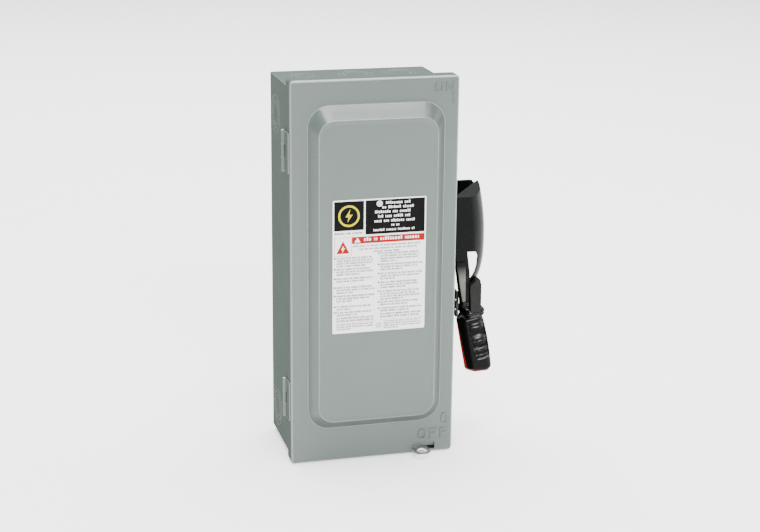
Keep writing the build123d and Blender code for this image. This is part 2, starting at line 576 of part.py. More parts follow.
PANEL_Y = DOOR_Y - PANEL_RISE
LABEL_X, LABEL_Z = (-40.8, 50.2), (-52.8, 78)
FILM = 0.3                           # thickness of the labels
with BuildPart() as front_label:
    with BuildSketch(Plane.XZ.offset(-PANEL_Y)):
        with Locations((sum(LABEL_X) / 2, sum(LABEL_Z) / 2)):
            RectangleRounded(LABEL_X[1] - LABEL_X[0], LABEL_Z[1] - LABEL_Z[0], 1.2)
    extrude(amount=FILM)
front_label.part.label = "front_label"
export_step(front_label.part, "parts/front_label.step")

with BuildPart() as wiring_label:
    block((-40, 48), (PANEL_Y + SHEET, PANEL_Y + SHEET + FILM), (-60, 70))
wiring_label.part.label = "wiring_label"
export_step(wiring_label.part, "parts/wiring_label.step")

HOOK_X = (72, 73.5)
with BuildPart() as interlock_hook:
    block(HOOK_X, (DOOR_Y + SHEET, -78), (12, 40))
    block(HOOK_X, (-88, -82), (20, 32), Mode.SUBTRACT)
    fillet(interlock_hook.edges().filter_by(Axis.X).group_by(Axis.Y)[-1], radius=3)
interlock_hook.part.label = "interlock_hook"
export_step(interlock_hook.part, "parts/interlock_hook.step")

# ---------------------------------------------------------------- handle
YOKE_Y = (-74, -34)
YOKE_L = 87                          # side of the yoke next to the box
YOKE_T = 2.5
YOKE_TOP, YOKE_BACK_TOP = 82, 72.5   # tip of the sloping front and flat top of the back
WEB_B = 9                            # lower edge of the yoke's broad part
ARM_B = -48                          # lower end of the yoke's arm
BOW_X, BOW_Z = -114.1, 20            # centre of the upper bow, seen from the front
BOW_RADII = (240, 90, 35)            # the bow tightens towards its lower end
BOW_TURNS = (3.34, 15.6, 55)         # slope of the bow at the end of each arc, in degrees
FRONT_ROUND, BACK_ROUND = 16, 4      # rounding of the bow's long edges
SLOPE = [(-80, 61.1), (-54, 78)]     # the yoke's sloping top, seen from the side
YOKE_SPAN = (80, 130)                # wider than the yoke, for cuts right through it
TOP_CUT = [(80, -72), (92.5, -72), (120.4, -54.6), (120.4, -37), (80, -37)]
ARM_DEPTH = 10                       # depth of the arm's web behind its front
ARM_LEFT_CUT = [(80, 22), (88, 22), (93.4, 2), (98.2, -34), (80, -34)]
WINDOW_TOP, WINDOW_FOOT, WINDOW_SIDE = (104.6, 112), (108.3, -19.6), (115.3, 0)
ARM_END = [(97, -25), (108, -18), (107, -26), (107, ARM_B), (100.3, ARM_B), (99.9, -41.5)]
ARM_WEB = [(93.4, 2), (95.4, 2), (101.9, -41.5), (102.3, ARM_B), (100.3, ARM_B), (99.9, -41.5)]
STIFFENER = [(94.2, 0), (102.6, 0), (102.6, -14.9), (104.7, -42), (100.1, -42)]
NECK = [(107.4, -25.6), (109, -53), (119.2, -53), (119, -25), (117.8, -19.6), (113, -19.6),
        (112.6, -21.4)]
NECK_HOLLOW = [(109.4, -25), (110.8, -54), (117.4, -54), (117.2, -25), (116.4, -21.6),
               (112.9, -22.4)]


def bow_form(inset, left, top):
    """The bow-shaped block of the yoke, or with an inset the hollow inside it."""
    upper_r, middle_r, lower_r = (r - inset for r in BOW_RADII)
    rise = degrees(asin((top - BOW_Z) / upper_r))
    with BuildPart() as form:
        with BuildSketch(Plane.XZ.offset(-YOKE_Y[1] + inset)):
            with BuildLine():
                upper = CenterArc((BOW_X, BOW_Z), upper_r, rise, -rise - BOW_TURNS[0])
                middle = JernArc(upper @ 1, upper % 1, middle_r, BOW_TURNS[0] - BOW_TURNS[1])
                lower = JernArc(middle @ 1, middle % 1, lower_r, BOW_TURNS[1] - BOW_TURNS[2])
                end = lower @ 1
                Polyline(end, (left, end.Y), (left, top), upper @ 0)
            make_face()
        extrude(amount=YOKE_Y[1] - YOKE_Y[0] - 2 * inset)
        arcs = form.edges().filter_by(GeomType.CIRCLE).group_by(Axis.Y)
        fillet(arcs[0], radius=FRONT_ROUND - inset)
        fillet(form.edges().filter_by(GeomType.CIRCLE).group_by(Axis.Y)[-1],
               radius=BACK_ROUND - inset)
    return form.part


with BuildPart() as hood_void:
    add(bow_form(YOKE_T, YOKE_L - 5, 100))
    block((80, 107), (YOKE_Y[0] + YOKE_T, YOKE_Y[1]), (-34, -28))
    prism_x(YOKE_SPAN, [(y, z - 3) for y, z in SLOPE] + [(-54, 120), (-80, 120)], Mode.SUBTRACT)

with BuildPart() as handle_yoke:
    add(bow_form(0, YOKE_L, YOKE_TOP))
    prism_x(YOKE_SPAN, SLOPE + [(-50, 78), (-50, YOKE_BACK_TOP), (-30, YOKE_BACK_TOP), (-30, 120),
                                (-80, 120)], Mode.SUBTRACT)
    add(hood_void.part, mode=Mode.SUBTRACT)
    # the sloping top is cut off along a diagonal towards the box
    prism_z((58, 90), TOP_CUT, Mode.SUBTRACT)
    # below the broad part only the front skin goes on: an arm and a curved band
    block(YOKE_SPAN, (YOKE_Y[0] + ARM_DEPTH, YOKE_Y[1] + CUT), (ARM_B - 2, WEB_B), Mode.SUBTRACT)
    prism_y((-80, -60), ARM_LEFT_CUT, Mode.SUBTRACT)
    with BuildSketch(Plane.XZ.offset(80)):
        with BuildLine():
            Polyline((WINDOW_TOP[1], WEB_B), (WINDOW_TOP[0], WEB_B), WINDOW_FOOT)
            ThreePointArc(WINDOW_FOOT, (113.6, -11.5), WINDOW_SIDE)
            ThreePointArc(WINDOW_SIDE, (114.9, 6.3), (WINDOW_TOP[1], WEB_B))
        make_face()
    extrude(amount=-20, mode=Mode.SUBTRACT)
    prism_y((YOKE_Y[0], YOKE_Y[0] + YOKE_T), ARM_END)
    prism_y((YOKE_Y[0], YOKE_Y[0] + ARM_DEPTH), ARM_WEB)
handle_yoke.part.label = "handle_yoke"
export_step(handle_yoke.part, "parts/handle_yoke.step")

HUB_R_END, HUB_H = 106.5, 13
HUB_PIN_X, HUB_PIN_R = 97, 2
with BuildPart() as handle_hub:
    block((YOKE_L, HUB_R_END), (YOKE_Y[0] + YOKE_T, YOKE_Y[1] - YOKE_T),
          (PIVOT_Z - HUB_H, PIVOT_Z + HUB_H))
    fillet(handle_hub.edges().filter_by(Axis.Y), radius=3)
    drum_x((80, 120), PIVOT_Y, PIVOT_Z, SHAFT_R, Mode.SUBTRACT)
    drum_y(HUB_PIN_X, YOKE_Y, PIVOT_Z, HUB_PIN_R, Mode.SUBTRACT)
handle_hub.part.label = "handle_hub"
export_step(handle_hub.part, "parts/handle_hub.step")

with BuildPart() as handle_shaft:
    drum_x((SHAFT_L_END, HUB_R_END), PIVOT_Y, PIVOT_Z, SHAFT_R)
    drum_y(HUB_PIN_X, YOKE_Y, PIVOT_Z, HUB_PIN_R, Mode.SUBTRACT)
handle_shaft.part.label = "handle_shaft"
export_step(handle_shaft.part, "parts/handle_shaft.step")

with BuildPart() as hub_pin:
    drum_y(HUB_PIN_X, (YOKE_Y[0] + YOKE_T, YOKE_Y[1] - YOKE_T), PIVOT_Z, HUB_PIN_R)
hub_pin.part.label = "hub_pin"
export_step(hub_pin.part, "parts/hub_pin.step")

CRANK_X, CRANK_LEN = (56, 60), 24
with BuildPart() as shaft_crank:
    drum_x(CRANK_X, PIVOT_Y, PIVOT_Z, 11)
    block(CRANK_X, (PIVOT_Y - 7, PIVOT_Y + 7), (PIVOT_Z - CRANK_LEN, PIVOT_Z))
    drum_x(CRANK_X, PIVOT_Y, PIVOT_Z - CRANK_LEN, 7)
    drum_x((CRANK_X[0] - CUT, CRANK_X[1] + CUT), PIVOT_Y, PIVOT_Z, SHAFT_R, Mode.SUBTRACT)
shaft_crank.part.label = "shaft_crank"
export_step(shaft_crank.part, "parts/shaft_crank.step")

STRIP_FACE = YOKE_Y[0] - 1.2
with BuildPart() as arm_stiffener:
    prism_y((STRIP_FACE, YOKE_Y[0]), STIFFENER)
    fillet(arm_stiffener.edges().filter_by(Axis.Y).group_by(Axis.Z)[-1], radius=2.5)
arm_stiffener.part.label = "arm_stiffener"
export_step(arm_stiffener.part, "parts/arm_stiffener.step")

with BuildPart() as stiffener_clip:
    block((100.6, 106.6), (YOKE_Y[0] - 2.6, YOKE_Y[0]), (-46, -42.2))
    fillet(stiffener_clip.faces().sort_by(Axis.Y)[0].edges(), radius=0.8)
    block((100, 107), (YOKE_Y[0] - 3, YOKE_Y[0] - 2.2), (-44.5, -43.8), Mode.SUBTRACT)
stiffener_clip.part.label = "stiffener_clip"
export_step(stiffener_clip.part, "parts/stiffener_clip.step")

splay = radians(GRIP_SPLAY)
grip_plane = Plane(origin=GRIP_TOP, x_dir=(cos(splay), 0, sin(splay)),
                   z_dir=(sin(splay), 0, -cos(splay)))
# on this plane x points outward from the box, y to the front and z down the grip


def grip_block(x, y, s, radius):
    """A rounded block on the grip's plane between two distances down the grip."""
    with BuildSketch(grip_plane.offset(s[0])) as outline:
        with Locations((sum(x) / 2, sum(y) / 2)):
            RectangleRounded(x[1] - x[0], y[1] - y[0], radius)
    extrude(outline.sketch, amount=s[1] - s[0])


def grip_cut_plane(y, s, drop):
    """A plane across the grip through y, s that drops towards the wall."""
    slope = atan(drop)
    return Plane(origin=grip_plane.from_local_coords(Vector(0, y, s)),
                 z_dir=(cos(slope) * sin(splay), -sin(slope), -cos(slope) * cos(splay)))


LOCK_PINS = ((-48, -44), (-48, -54))  # guide pins of the lock plate: y, z
LOCK_PIN_R, LOCK_PIN_HEAD = 2, 3.4


def lock_pin_holes():
    """Holes for the two guide pins."""
    for y, z in LOCK_PINS:
        drum_x((95, 114), y, z, LOCK_PIN_R, Mode.SUBTRACT)


with BuildPart() as handle_tang:
    grip_block((-2, 2), (-9.8, 9.8), (-30, 26), 1.9)
    lock_pin_holes()
handle_tang.part.label = "handle_tang"
export_step(handle_tang.part, "parts/handle_tang.step")

GRIP_SECTIONS = (                    # distance down the grip, x range, y range
    (3, (-9.6, 11.0), (-18, 17.6)),
    (30, (-9.8, 12.6), (-18, 18.2)),
    (76, (-9.6, 10.6), (-18, 17.2)))
with BuildPart() as grip_form:
    for s, x, y in GRIP_SECTIONS:
        with BuildSketch(grip_plane.offset(s)):
            with Locations((sum(x) / 2, sum(y) / 2)):
                RectangleRounded(x[1] - x[0], y[1] - y[0], 5)
    loft()
    split(bisect_by=grip_cut_plane(18, 60, 10.5 / 36), keep=Keep.BOTTOM)
    fillet(grip_form.faces().sort_by(Axis.Z)[0].edges(), radius=3)

INSERT_TOP, INSERT_END = -14.6, -3.5  # where the red back of the grip begins, top and tip
insert_lean = (INSERT_END - INSERT_TOP) / 62
insert_plane = Plane(
    origin=grip_plane.from_local_coords(Vector(0, INSERT_TOP, 3)),
    z_dir=(-insert_lean * sin(splay), -1, insert_lean * cos(splay)))
FINGER_R, FINGER_W = 10, 17          # finger pockets in the front of the grip
FINGER_AT, FINGERS = (2.5, 24.9), (14, 28, 42)
with BuildPart() as grip_body:
    add(grip_form.part)
    split(bisect_by=insert_plane, keep=Keep.TOP)
    for s in FINGERS:
        with Locations(grip_plane.location * Location((*FINGER_AT, s), (0, 90, 0))):
            Cylinder(FINGER_R, FINGER_W, mode=Mode.SUBTRACT)
    add(handle_tang.part, mode=Mode.SUBTRACT)
    lock_pin_holes()
grip_body.part.label = "grip_body"
export_step(grip_body.part, "parts/grip_body.step")

with BuildPart() as grip_insert:
    add(grip_form.part)
    split(bisect_by=insert_plane, keep=Keep.BOTTOM)
grip_insert.part.label = "grip_insert"
export_step(grip_insert.part, "parts/grip_insert.step")

with BuildPart() as grip_collar:
    grip_block((-7.5, 12.7), (-13, 16.8), (-7, 3), 6)
    fillet(grip_collar.edges().group_by(SortBy.LENGTH)[-1], radius=0.8)
    add(handle_tang.part, mode=Mode.SUBTRACT)
    lock_pin_holes()
grip_collar.part.label = "grip_collar"
export_step(grip_collar.part, "parts/grip_collar.step")

COVER_Y, COVER_T = (-77, -64.5), 1.8
with BuildPart() as cover_form:
    prism_y(COVER_Y, NECK)
    fillet(cover_form.edges().filter_by(Axis.Y).group_by(Axis.Z)[0], radius=1)
    prism_y((COVER_Y[0] + COVER_T, COVER_Y[1]), NECK_HOLLOW, Mode.SUBTRACT)
    add(handle_yoke.part, mode=Mode.SUBTRACT)
    add(grip_collar.part, mode=Mode.SUBTRACT)

with BuildPart() as neck_cover:
    add(cover_form.solids().sort_by(SortBy.VOLUME)[-1])
neck_cover.part.label = "neck_cover"
export_step(neck_cover.part, "parts/neck_cover.step")

# lock plate: slides back out of the handle's neck on two pins to block the handle
LOCK_X, LOCK_Y, LOCK_Z = (97.6, 99.8), (-63.4, -30), (-61, -35)
LOCK_TRAVEL = 12
LOCK_HOLE = (-38.5, -44, 5)          # y, z and radius of its padlock hole
with BuildPart() as lock_plate:
    prism_x(LOCK_X, [(LOCK_Y[0], LOCK_Z[1]), (LOCK_Y[1], LOCK_Z[1]), (LOCK_Y[1], LOCK_Z[0] + 8),
                     (LOCK_Y[1] - 8, LOCK_Z[0]), (LOCK_Y[0], LOCK_Z[0])])
    with BuildSketch(Plane.YZ.offset(LOCK_X[0])):
        for y, z in LOCK_PINS:
            with Locations((y - LOCK_TRAVEL / 2, z)):
                SlotCenterToCenter(LOCK_TRAVEL, 2 * LOCK_PIN_R + 0.3)
    extrude(amount=LOCK_X[1] - LOCK_X[0], mode=Mode.SUBTRACT)
    drum_x(LOCK_X, *LOCK_HOLE, Mode.SUBTRACT)
lock_plate.part.label = "lock_plate"
export_step(lock_plate.part, "parts/lock_plate.step")

with BuildPart() as lock_plate_pins:
    for y, z in LOCK_PINS:
        drum_x((LOCK_X[0] - 1.4, 112.5), y, z, LOCK_PIN_R)
        drum_x((LOCK_X[0] - 1.4, LOCK_X[0] - 0.3), y, z, LOCK_PIN_HEAD)
        drum_x((LOCK_X[1] + 0.3, LOCK_X[1] + 1.3), y, z, LOCK_PIN_HEAD)
lock_plate_pins.part.label = "lock_plate_pins"
export_step(lock_plate_pins.part, "parts/lock_plate_pins.step")

# ---------------------------------------------------------------- rotor with the blades
BLADE_W, BLADE_T, BLADE_MIDDLE = 6.5, 1.6, 2.2       # half width, thickness, offset in a pole
BAR_U, BAR_V = (18, 31), (-9, 9)
ARM_W = 7.2                          # half width of the rotor arms, clear of the copper straps
RIGHT_ARM, LEFT_ARM = (37, 39.5), (-53.8, -51.3)
STRIPS = [(pole + side * BLADE_MIDDLE - BLADE_T / 2, pole + side * BLADE_MIDDLE + BLADE_T / 2)
          for pole in POLES for side in (1, -1)]

with BuildPart() as switch_blades:
    for x in STRIPS:
        blade_slab(x, BLADE_OPEN, (0, BLADE_LEN - BLADE_W), (-BLADE_W, BLADE_W))
        for u in (0, BLADE_LEN - BLADE_W):
            with BuildSketch(blade_plane(x[0], BLADE_OPEN)):
                with Locations((u, 0)):
                    Circle(BLADE_W)
            extrude(amount=x[1] - x[0])
        drum_x(x, ROTOR_Y, ROTOR_Z, BOLT_R, Mode.SUBTRACT)
switch_blades.part.label = "switch_blades"
export_step(switch_blades.part, "parts/switch_blades.step")

with BuildPart() as blade_bolts:
    for pole in POLES:
        drum_x((pole - 3, pole + 3), ROTOR_Y, ROTOR_Z, BOLT_R)
        for x in ((pole - 5, pole - 3), (pole + 3, pole + 5)):
            drum_x(x, ROTOR_Y, ROTOR_Z, 4)
blade_bolts.part.label = "blade_bolts"
export_step(blade_bolts.part, "parts/blade_bolts.step")

with BuildPart() as rotor_bar:
    blade_slab((LEFT_ARM[1], RIGHT_ARM[0]), BLADE_OPEN, BAR_U, BAR_V)
    for x in STRIPS:
        blade_slab(x, BLADE_OPEN, BAR_U, (-BLADE_W, BLADE_W), Mode.SUBTRACT)
rotor_bar.part.label = "rotor_bar"
export_step(rotor_bar.part, "parts/rotor_bar.step")

with BuildPart() as rotor_arms:
    for x in (LEFT_ARM, RIGHT_ARM):
        blade_slab(x, BLADE_OPEN, (0, BAR_U[1]), (-ARM_W, ARM_W))
        drum_x(x, ROTOR_Y, ROTOR_Z, ARM_W)
    drum_x((BEARING_X[0], LEFT_ARM[0]), ROTOR_Y, ROTOR_Z, STUB_R)
    drum_x((RIGHT_ARM[1], 52), ROTOR_Y, ROTOR_Z, JOURNAL_R)
rotor_arms.part.label = "rotor_arms"
export_step(rotor_arms.part, "parts/rotor_arms.step")

ROTOR_CRANK_X, ROTOR_CRANK_LEN = (46, 50), 20
ROTOR_CRANK_W, ROTOR_CRANK_LEAD = 11, 7              # width, and angle ahead of the blades
with BuildPart() as rotor_crank:
    drum_x(ROTOR_CRANK_X, ROTOR_Y, ROTOR_Z, 9)
    with BuildSketch(blade_plane(ROTOR_CRANK_X[0], BLADE_OPEN + ROTOR_CRANK_LEAD)):
        with Locations((ROTOR_CRANK_LEN / 2, 0)):
            Rectangle(ROTOR_CRANK_LEN, ROTOR_CRANK_W)
        with Locations((ROTOR_CRANK_LEN, 0)):
            Circle(ROTOR_CRANK_W / 2)
    extrude(amount=ROTOR_CRANK_X[1] - ROTOR_CRANK_X[0])
    drum_x((ROTOR_CRANK_X[0] - CUT, ROTOR_CRANK_X[1] + CUT), ROTOR_Y, ROTOR_Z, JOURNAL_R,
           Mode.SUBTRACT)
rotor_crank.part.label = "rotor_crank"
export_step(rotor_crank.part, "parts/rotor_crank.step")
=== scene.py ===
"""Looks of the safety switch: materials, printed labels, detailed pieces, light and camera.

Everything is in metres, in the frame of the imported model: +X right, +Y into the wall, +Z up.
"""
import json
import math
import random

import bmesh
import bpy
from mathutils import Matrix, Vector


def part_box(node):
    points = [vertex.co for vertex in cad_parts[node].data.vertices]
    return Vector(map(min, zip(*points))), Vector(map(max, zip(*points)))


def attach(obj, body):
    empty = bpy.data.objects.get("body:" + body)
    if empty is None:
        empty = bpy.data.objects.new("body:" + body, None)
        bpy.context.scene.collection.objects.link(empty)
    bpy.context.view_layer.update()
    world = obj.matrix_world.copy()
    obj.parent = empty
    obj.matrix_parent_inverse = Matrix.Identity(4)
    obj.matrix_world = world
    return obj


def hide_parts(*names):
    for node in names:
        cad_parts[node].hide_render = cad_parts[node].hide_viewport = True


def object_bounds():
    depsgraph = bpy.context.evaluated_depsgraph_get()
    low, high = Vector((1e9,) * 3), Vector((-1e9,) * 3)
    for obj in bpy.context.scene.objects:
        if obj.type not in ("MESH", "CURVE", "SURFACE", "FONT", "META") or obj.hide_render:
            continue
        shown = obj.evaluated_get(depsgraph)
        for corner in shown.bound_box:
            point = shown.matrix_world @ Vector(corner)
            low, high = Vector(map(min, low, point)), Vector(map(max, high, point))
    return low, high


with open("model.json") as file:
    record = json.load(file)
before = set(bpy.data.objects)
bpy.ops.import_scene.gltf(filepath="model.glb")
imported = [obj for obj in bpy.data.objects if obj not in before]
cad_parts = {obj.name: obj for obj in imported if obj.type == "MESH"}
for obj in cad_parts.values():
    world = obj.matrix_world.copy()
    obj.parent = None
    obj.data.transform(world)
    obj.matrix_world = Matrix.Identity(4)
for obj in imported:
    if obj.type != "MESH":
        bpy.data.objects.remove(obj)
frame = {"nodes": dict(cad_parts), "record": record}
cad_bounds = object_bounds()
nodes = frame["nodes"]
MM = 0.001


# ---------------------------------------------------------------- camera and light
CAMERA_AT = (-0.3937, -1.5936, 0.4611)
CAMERA_YAW, CAMERA_PITCH, CAMERA_ROLL = 15.07, 16.31, 0.58
CAMERA_LENS, CAMERA_SENSOR = 79.86, 36                    # millimetres
CAMERA_CLIP = (0.01, 60)


def add_camera():
    """The camera, placed so that the switch lies as it does when seen from the left and above."""
    data = bpy.data.cameras.new("camera")
    data.lens = CAMERA_LENS
    data.sensor_width = CAMERA_SENSOR
    data.clip_start, data.clip_end = CAMERA_CLIP
    camera = bpy.data.objects.new("camera", data)
    bpy.context.scene.collection.objects.link(camera)
    turn = (Matrix.Rotation(math.radians(-CAMERA_YAW), 4, "Z")
            @ Matrix.Rotation(math.radians(90 - CAMERA_PITCH), 4, "X")
            @ Matrix.Rotation(math.radians(CAMERA_ROLL), 4, "Z"))
    camera.matrix_world = Matrix.Translation(CAMERA_AT) @ turn
    bpy.context.scene.camera = camera


def add_area_light(name, place, target, size, power):
    """A rectangular softbox turned towards a target."""
    data = bpy.data.lights.new(name, "AREA")
    data.shape = "RECTANGLE"
    data.size, data.size_y = size
    data.energy = power
    light = bpy.data.objects.new(name, data)
    bpy.context.scene.collection.objects.link(light)
    light.location = place
    light.rotation_euler = (Vector(target) - Vector(place)).to_track_quat("-Z", "Y").to_euler()


WORLD = 0.1                     # brightness of the surround
FLOOR_HALF, FLOOR_GAP = 12, 0.5 * MM
FLOOR_WHITE, FLOOR_ROUGH, FLOOR_GLOW = (0.92, 0.92, 0.92, 1), 0.9, 0.9
LIGHTS = (                      # name, place, target, size, watts
    ("overhead", (0.1, 1.5, 2.7), (0, 0.9, -0.2), (5.0, 3.5), 400),
    ("strip", (0.0, -0.75, 2.3), (0, 0, 0), (1.8, 0.4), 64),
    ("key", (0.1, -2.3, 1.3), (0, 0, 0), (1.2, 0.9), 66),
    ("right_fill", (1.8, -0.2, 0.35), (0.1, 0, 0), (0.7, 1.4), 10),
)


def add_studio():
    """A dim surround, a large light overhead, a strip over the front, a softbox and a fill."""
    world = bpy.data.worlds.new("studio")
    world.use_nodes = True
    background = world.node_tree.nodes["Background"]
    background.inputs["Color"].default_value = (1, 1, 1, 1)
    background.inputs["Strength"].default_value = WORLD
    bpy.context.scene.world = world
    for light in LIGHTS:
        add_area_light(*light)


def add_floor():
    """A pale floor that glows a little, just under the lowest point of the switch."""
    mesh = bpy.data.meshes.new("floor")
    half, level = FLOOR_HALF, cad_bounds[0][2] - FLOOR_GAP
    mesh.from_pydata([(-half, -half, level), (half, -half, level), (half, half, level),
                      (-half, half, level)], [], [(0, 1, 2, 3)])
    floor = bpy.data.objects.new("floor", mesh)
    bpy.context.scene.collection.objects.link(floor)
    material = bpy.data.materials.new("floor_white")
    material.use_nodes = True
    shader = material.node_tree.nodes["Principled BSDF"]
    shader.inputs["Base Color"].default_value = FLOOR_WHITE
    shader.inputs["Roughness"].default_value = FLOOR_ROUGH
    shader.inputs["Emission Color"].default_value = (1, 1, 1, 1)
    shader.inputs["Emission Strength"].default_value = FLOOR_GLOW
    mesh.materials.append(material)


# ---------------------------------------------------------------- material kit
class Finish:
    """A Principled material fed by procedural textures in the object's own space."""

    def __init__(self, name, **constants):
        self.name = name
        self.material = bpy.data.materials.new(name)
        self.material.use_nodes = True
        self.tree = self.material.node_tree
        self.shader = self.tree.nodes["Principled BSDF"]
        self.place = self.node("ShaderNodeTexCoord").outputs["Object"]
        self.own_normal = self.node("ShaderNodeTexCoord").outputs["Normal"]
        self.normal = None
        for key, value in constants.items():
            self.shader.inputs[key.replace("_", " ")].default_value = value

    def node(self, kind, inputs=(), **settings):
        """A new shader node, with its inputs linked or set."""
        new = self.tree.nodes.new(kind)
        for key, value in settings.items():
            setattr(new, key, value)
        for key, value in dict(inputs).items():
            if isinstance(value, bpy.types.NodeSocket):
                self.tree.links.new(value, new.inputs[key])
            else:
                new.inputs[key].default_value = value
        return new

    def stretched(self, scale):
        """The object's space, stretched, for streaks and grain."""
        return self.node("ShaderNodeMapping", {"Vector": self.place, "Scale": scale}).outputs[0]

    def noise(self, scale, detail=3.0, rough=0.55, stretch=None, distortion=0.0):
        """Cloudy noise, drawn out where a stretch is given."""
        place = self.stretched(stretch) if stretch else self.place
        return self.node("ShaderNodeTexNoise", {
            "Vector": place, "Scale": scale, "Detail": detail, "Roughness": rough,
            "Distortion": distortion}).outputs["Fac"]

    def cells(self, scale):
        """Distance from the middles of scattered cells, for grain and speckle."""
        return self.node("ShaderNodeTexVoronoi",
                         {"Vector": self.place, "Scale": scale}).outputs["Distance"]

    def ramp(self, value, low, high):
        """value's range from low to high, spread over 0 to 1."""
        return self.node("ShaderNodeMapRange", {
            "Value": value, "From Min": low, "From Max": high}).outputs["Result"]

    def times(self, value, factor):
        """The product of two values."""
        return self.node("ShaderNodeMath", {0: value, 1: factor}, operation="MULTIPLY").outputs[0]

    def blend(self, factor, first, second):
        """A colour that goes from first to second as factor goes from 0 to 1."""
        mix = self.node("ShaderNodeMix", data_type="RGBA")
        for socket, value in ((0, factor), (6, first), (7, second)):
            if isinstance(value, bpy.types.NodeSocket):
                self.tree.links.new(value, mix.inputs[socket])
            else:
                mix.inputs[socket].default_value = value if socket == 0 else (*value, 1)
        return mix.outputs[2]

    def edges(self, radius, low=0.985, high=0.8):
        """1 on the convex and concave edges of the mesh, 0 on its faces."""
        soft = self.node("ShaderNodeBevel", {"Radius": radius}, samples=4).outputs["Normal"]
        hard = self.node("ShaderNodeNewGeometry").outputs["Normal"]
        same = self.node("ShaderNodeVectorMath", {0: soft, 1: hard}, operation="DOT_PRODUCT")
        return self.ramp(same.outputs["Value"], low, high)

    def turned(self, side, low, high):
        """0 to 1 as the surface's own normal turns towards a side."""
        towards = self.node("ShaderNodeVectorMath", {0: self.own_normal, 1: side},
                            operation="DOT_PRODUCT").outputs["Value"]
        return self.ramp(towards, low, high)

    def gloss(self, mask, sheen, coat=0.0):
        """Gloss where the mask is 1, matt where it is 0."""
        self.tree.links.new(self.times(mask, sheen), self.shader.inputs["Specular IOR Level"])
        if coat:
            self.tree.links.new(self.times(mask, coat), self.shader.inputs["Coat Weight"])

    def colour(self, value):
        """The base colour."""
        self.tree.links.new(value, self.shader.inputs["Base Color"])

    def roughness(self, value, low, high):
        """Roughness between two values, following the middle half of a noise."""
        spread = self.node("ShaderNodeMapRange", {"Value": value, "To Min": low, "To Max": high,
                                                  "From Min": 0.25, "From Max": 0.75})
        self.tree.links.new(spread.outputs["Result"], self.shader.inputs["Roughness"])

    def round_edges(self, radius):
        """Edges catch the light as if they were rounded by that radius."""
        self.normal = self.node("ShaderNodeBevel", {"Radius": radius}, samples=4).outputs["Normal"]

    def bump(self, height, depth, strength=1.0):
        """Relief of that depth in metres, on top of what is already there."""
        inputs = {"Height": height, "Distance": depth, "Strength": strength}
        if self.normal:
            inputs["Normal"] = self.normal
        self.normal = self.node("ShaderNodeBump", inputs).outputs["Normal"]

    def done(self):
        """The finish's name and material, with its relief linked."""
        if self.normal:
            self.tree.links.new(self.normal, self.shader.inputs["Normal"])
        return self.name, self.material


# ---------------------------------------------------------------- materials
PAINT = ((0.090, 0.117, 0.104), (0.100, 0.129, 0.115))    # the two tones of the front's enamel
SHADED_SIDE_PAINT = ((0.079, 0.098, 0.087), (0.089, 0.109, 0.097))    # the same enamel, darker on sides, top and back: painted shade
WEAR_AND_EDGE_HIGHLIGHT = (0.26, 0.29, 0.275)                              # where the enamel is worn, and a painted highlight along edges
BEND_HIGHLIGHT = (0.42, 0.46, 0.44)                              # painted highlight on bends and rounded folds
SLOPE_SHADE = (0.046, 0.06, 0.053)                          # painted shade on slopes turned down or to the right


def enclosure_paint(name, bend, crease=0.0, shaded=0.0, fold=0.0):
    """Grey-green baked enamel: satin with orange peel in front, dull on the folded sides, whose
    darker colour on sides, top and back is painted shade.

    bend rounds the edges; crease sets the painted highlight lines on sharp bends, shaded the
    painted shade on faces turned down or to the right, and fold the painted highlight on rounded
    folds.
    turned down or to the right are darkened, and rounded folds are lit.
    """
    f = Finish(name, Coat_Roughness=0.16)
    front = f.turned((0, -1, 0), 0.25, 0.6)
    f.gloss(front, sheen=0.45, coat=0.25)
    light = f.blend(f.ramp(f.noise(5, 4), 0.3, 0.7), *PAINT)
    # the darker copy for faces not turned to the front: painted shade
    dark = f.blend(f.ramp(f.noise(9, 4), 0.3, 0.7), *SHADED_SIDE_PAINT)
    flecks = f.blend(f.ramp(f.noise(900, 2), 0.25, 0.75), (0.92, 0.92, 0.92), (1.05, 1.05, 1.05))
    tint = f.node("ShaderNodeMix", data_type="RGBA", blend_type="MULTIPLY")
    tint.inputs[0].default_value = 1
    f.tree.links.new(f.blend(front, dark, light), tint.inputs[6])
    f.tree.links.new(flecks, tint.inputs[7])
    # paler edges: wear, and a painted highlight along them
    rubbed = f.times(f.edges(0.9 * MM), f.ramp(f.noise(60, 5), 0.42, 0.68))
    worn = f.blend(f.times(rubbed, 0.4), tint.outputs[2], WEAR_AND_EDGE_HIGHLIGHT)
    # painted shade on faces turned down or to the right
    if shaded:
        away = f.times(f.turned((1, 0, 0), 0.2, 0.65), 0.6 * shaded)
        worn = f.blend(f.times(f.turned((0, 0, -1), 0.2, 0.65), shaded), worn, SLOPE_SHADE)
        worn = f.blend(away, worn, SLOPE_SHADE)
    # painted highlight on the door's rounded folds
    if fold:
        rounded = f.times(f.turned((0, -1, 0), 0.96, 0.86), f.turned((0, -1, 0), 0.35, 0.6))
        rounded = f.times(rounded, f.turned((0, 0, 1), -0.6, 0.5))
        worn = f.blend(f.times(rounded, fold), worn, BEND_HIGHLIGHT)
    # painted highlight lines along sharp bends
    if crease:
        lines = f.times(f.edges(1.3 * MM, 0.996, 0.93), f.turned((0, 0, 1), -0.75, 0.25))
        lines = f.times(lines, f.ramp(f.noise(25, 4), -0.3, 0.5))
        worn = f.blend(f.times(lines, crease), worn, BEND_HIGHLIGHT)
    f.colour(worn)
    f.roughness(f.noise(35, 5), 0.28, 0.38)
    f.round_edges(bend)
    f.bump(f.noise(420, 2), 0.05 * MM, 0.5)
    f.bump(f.noise(28, 2), 0.5 * MM, 0.12)
    return f.done()


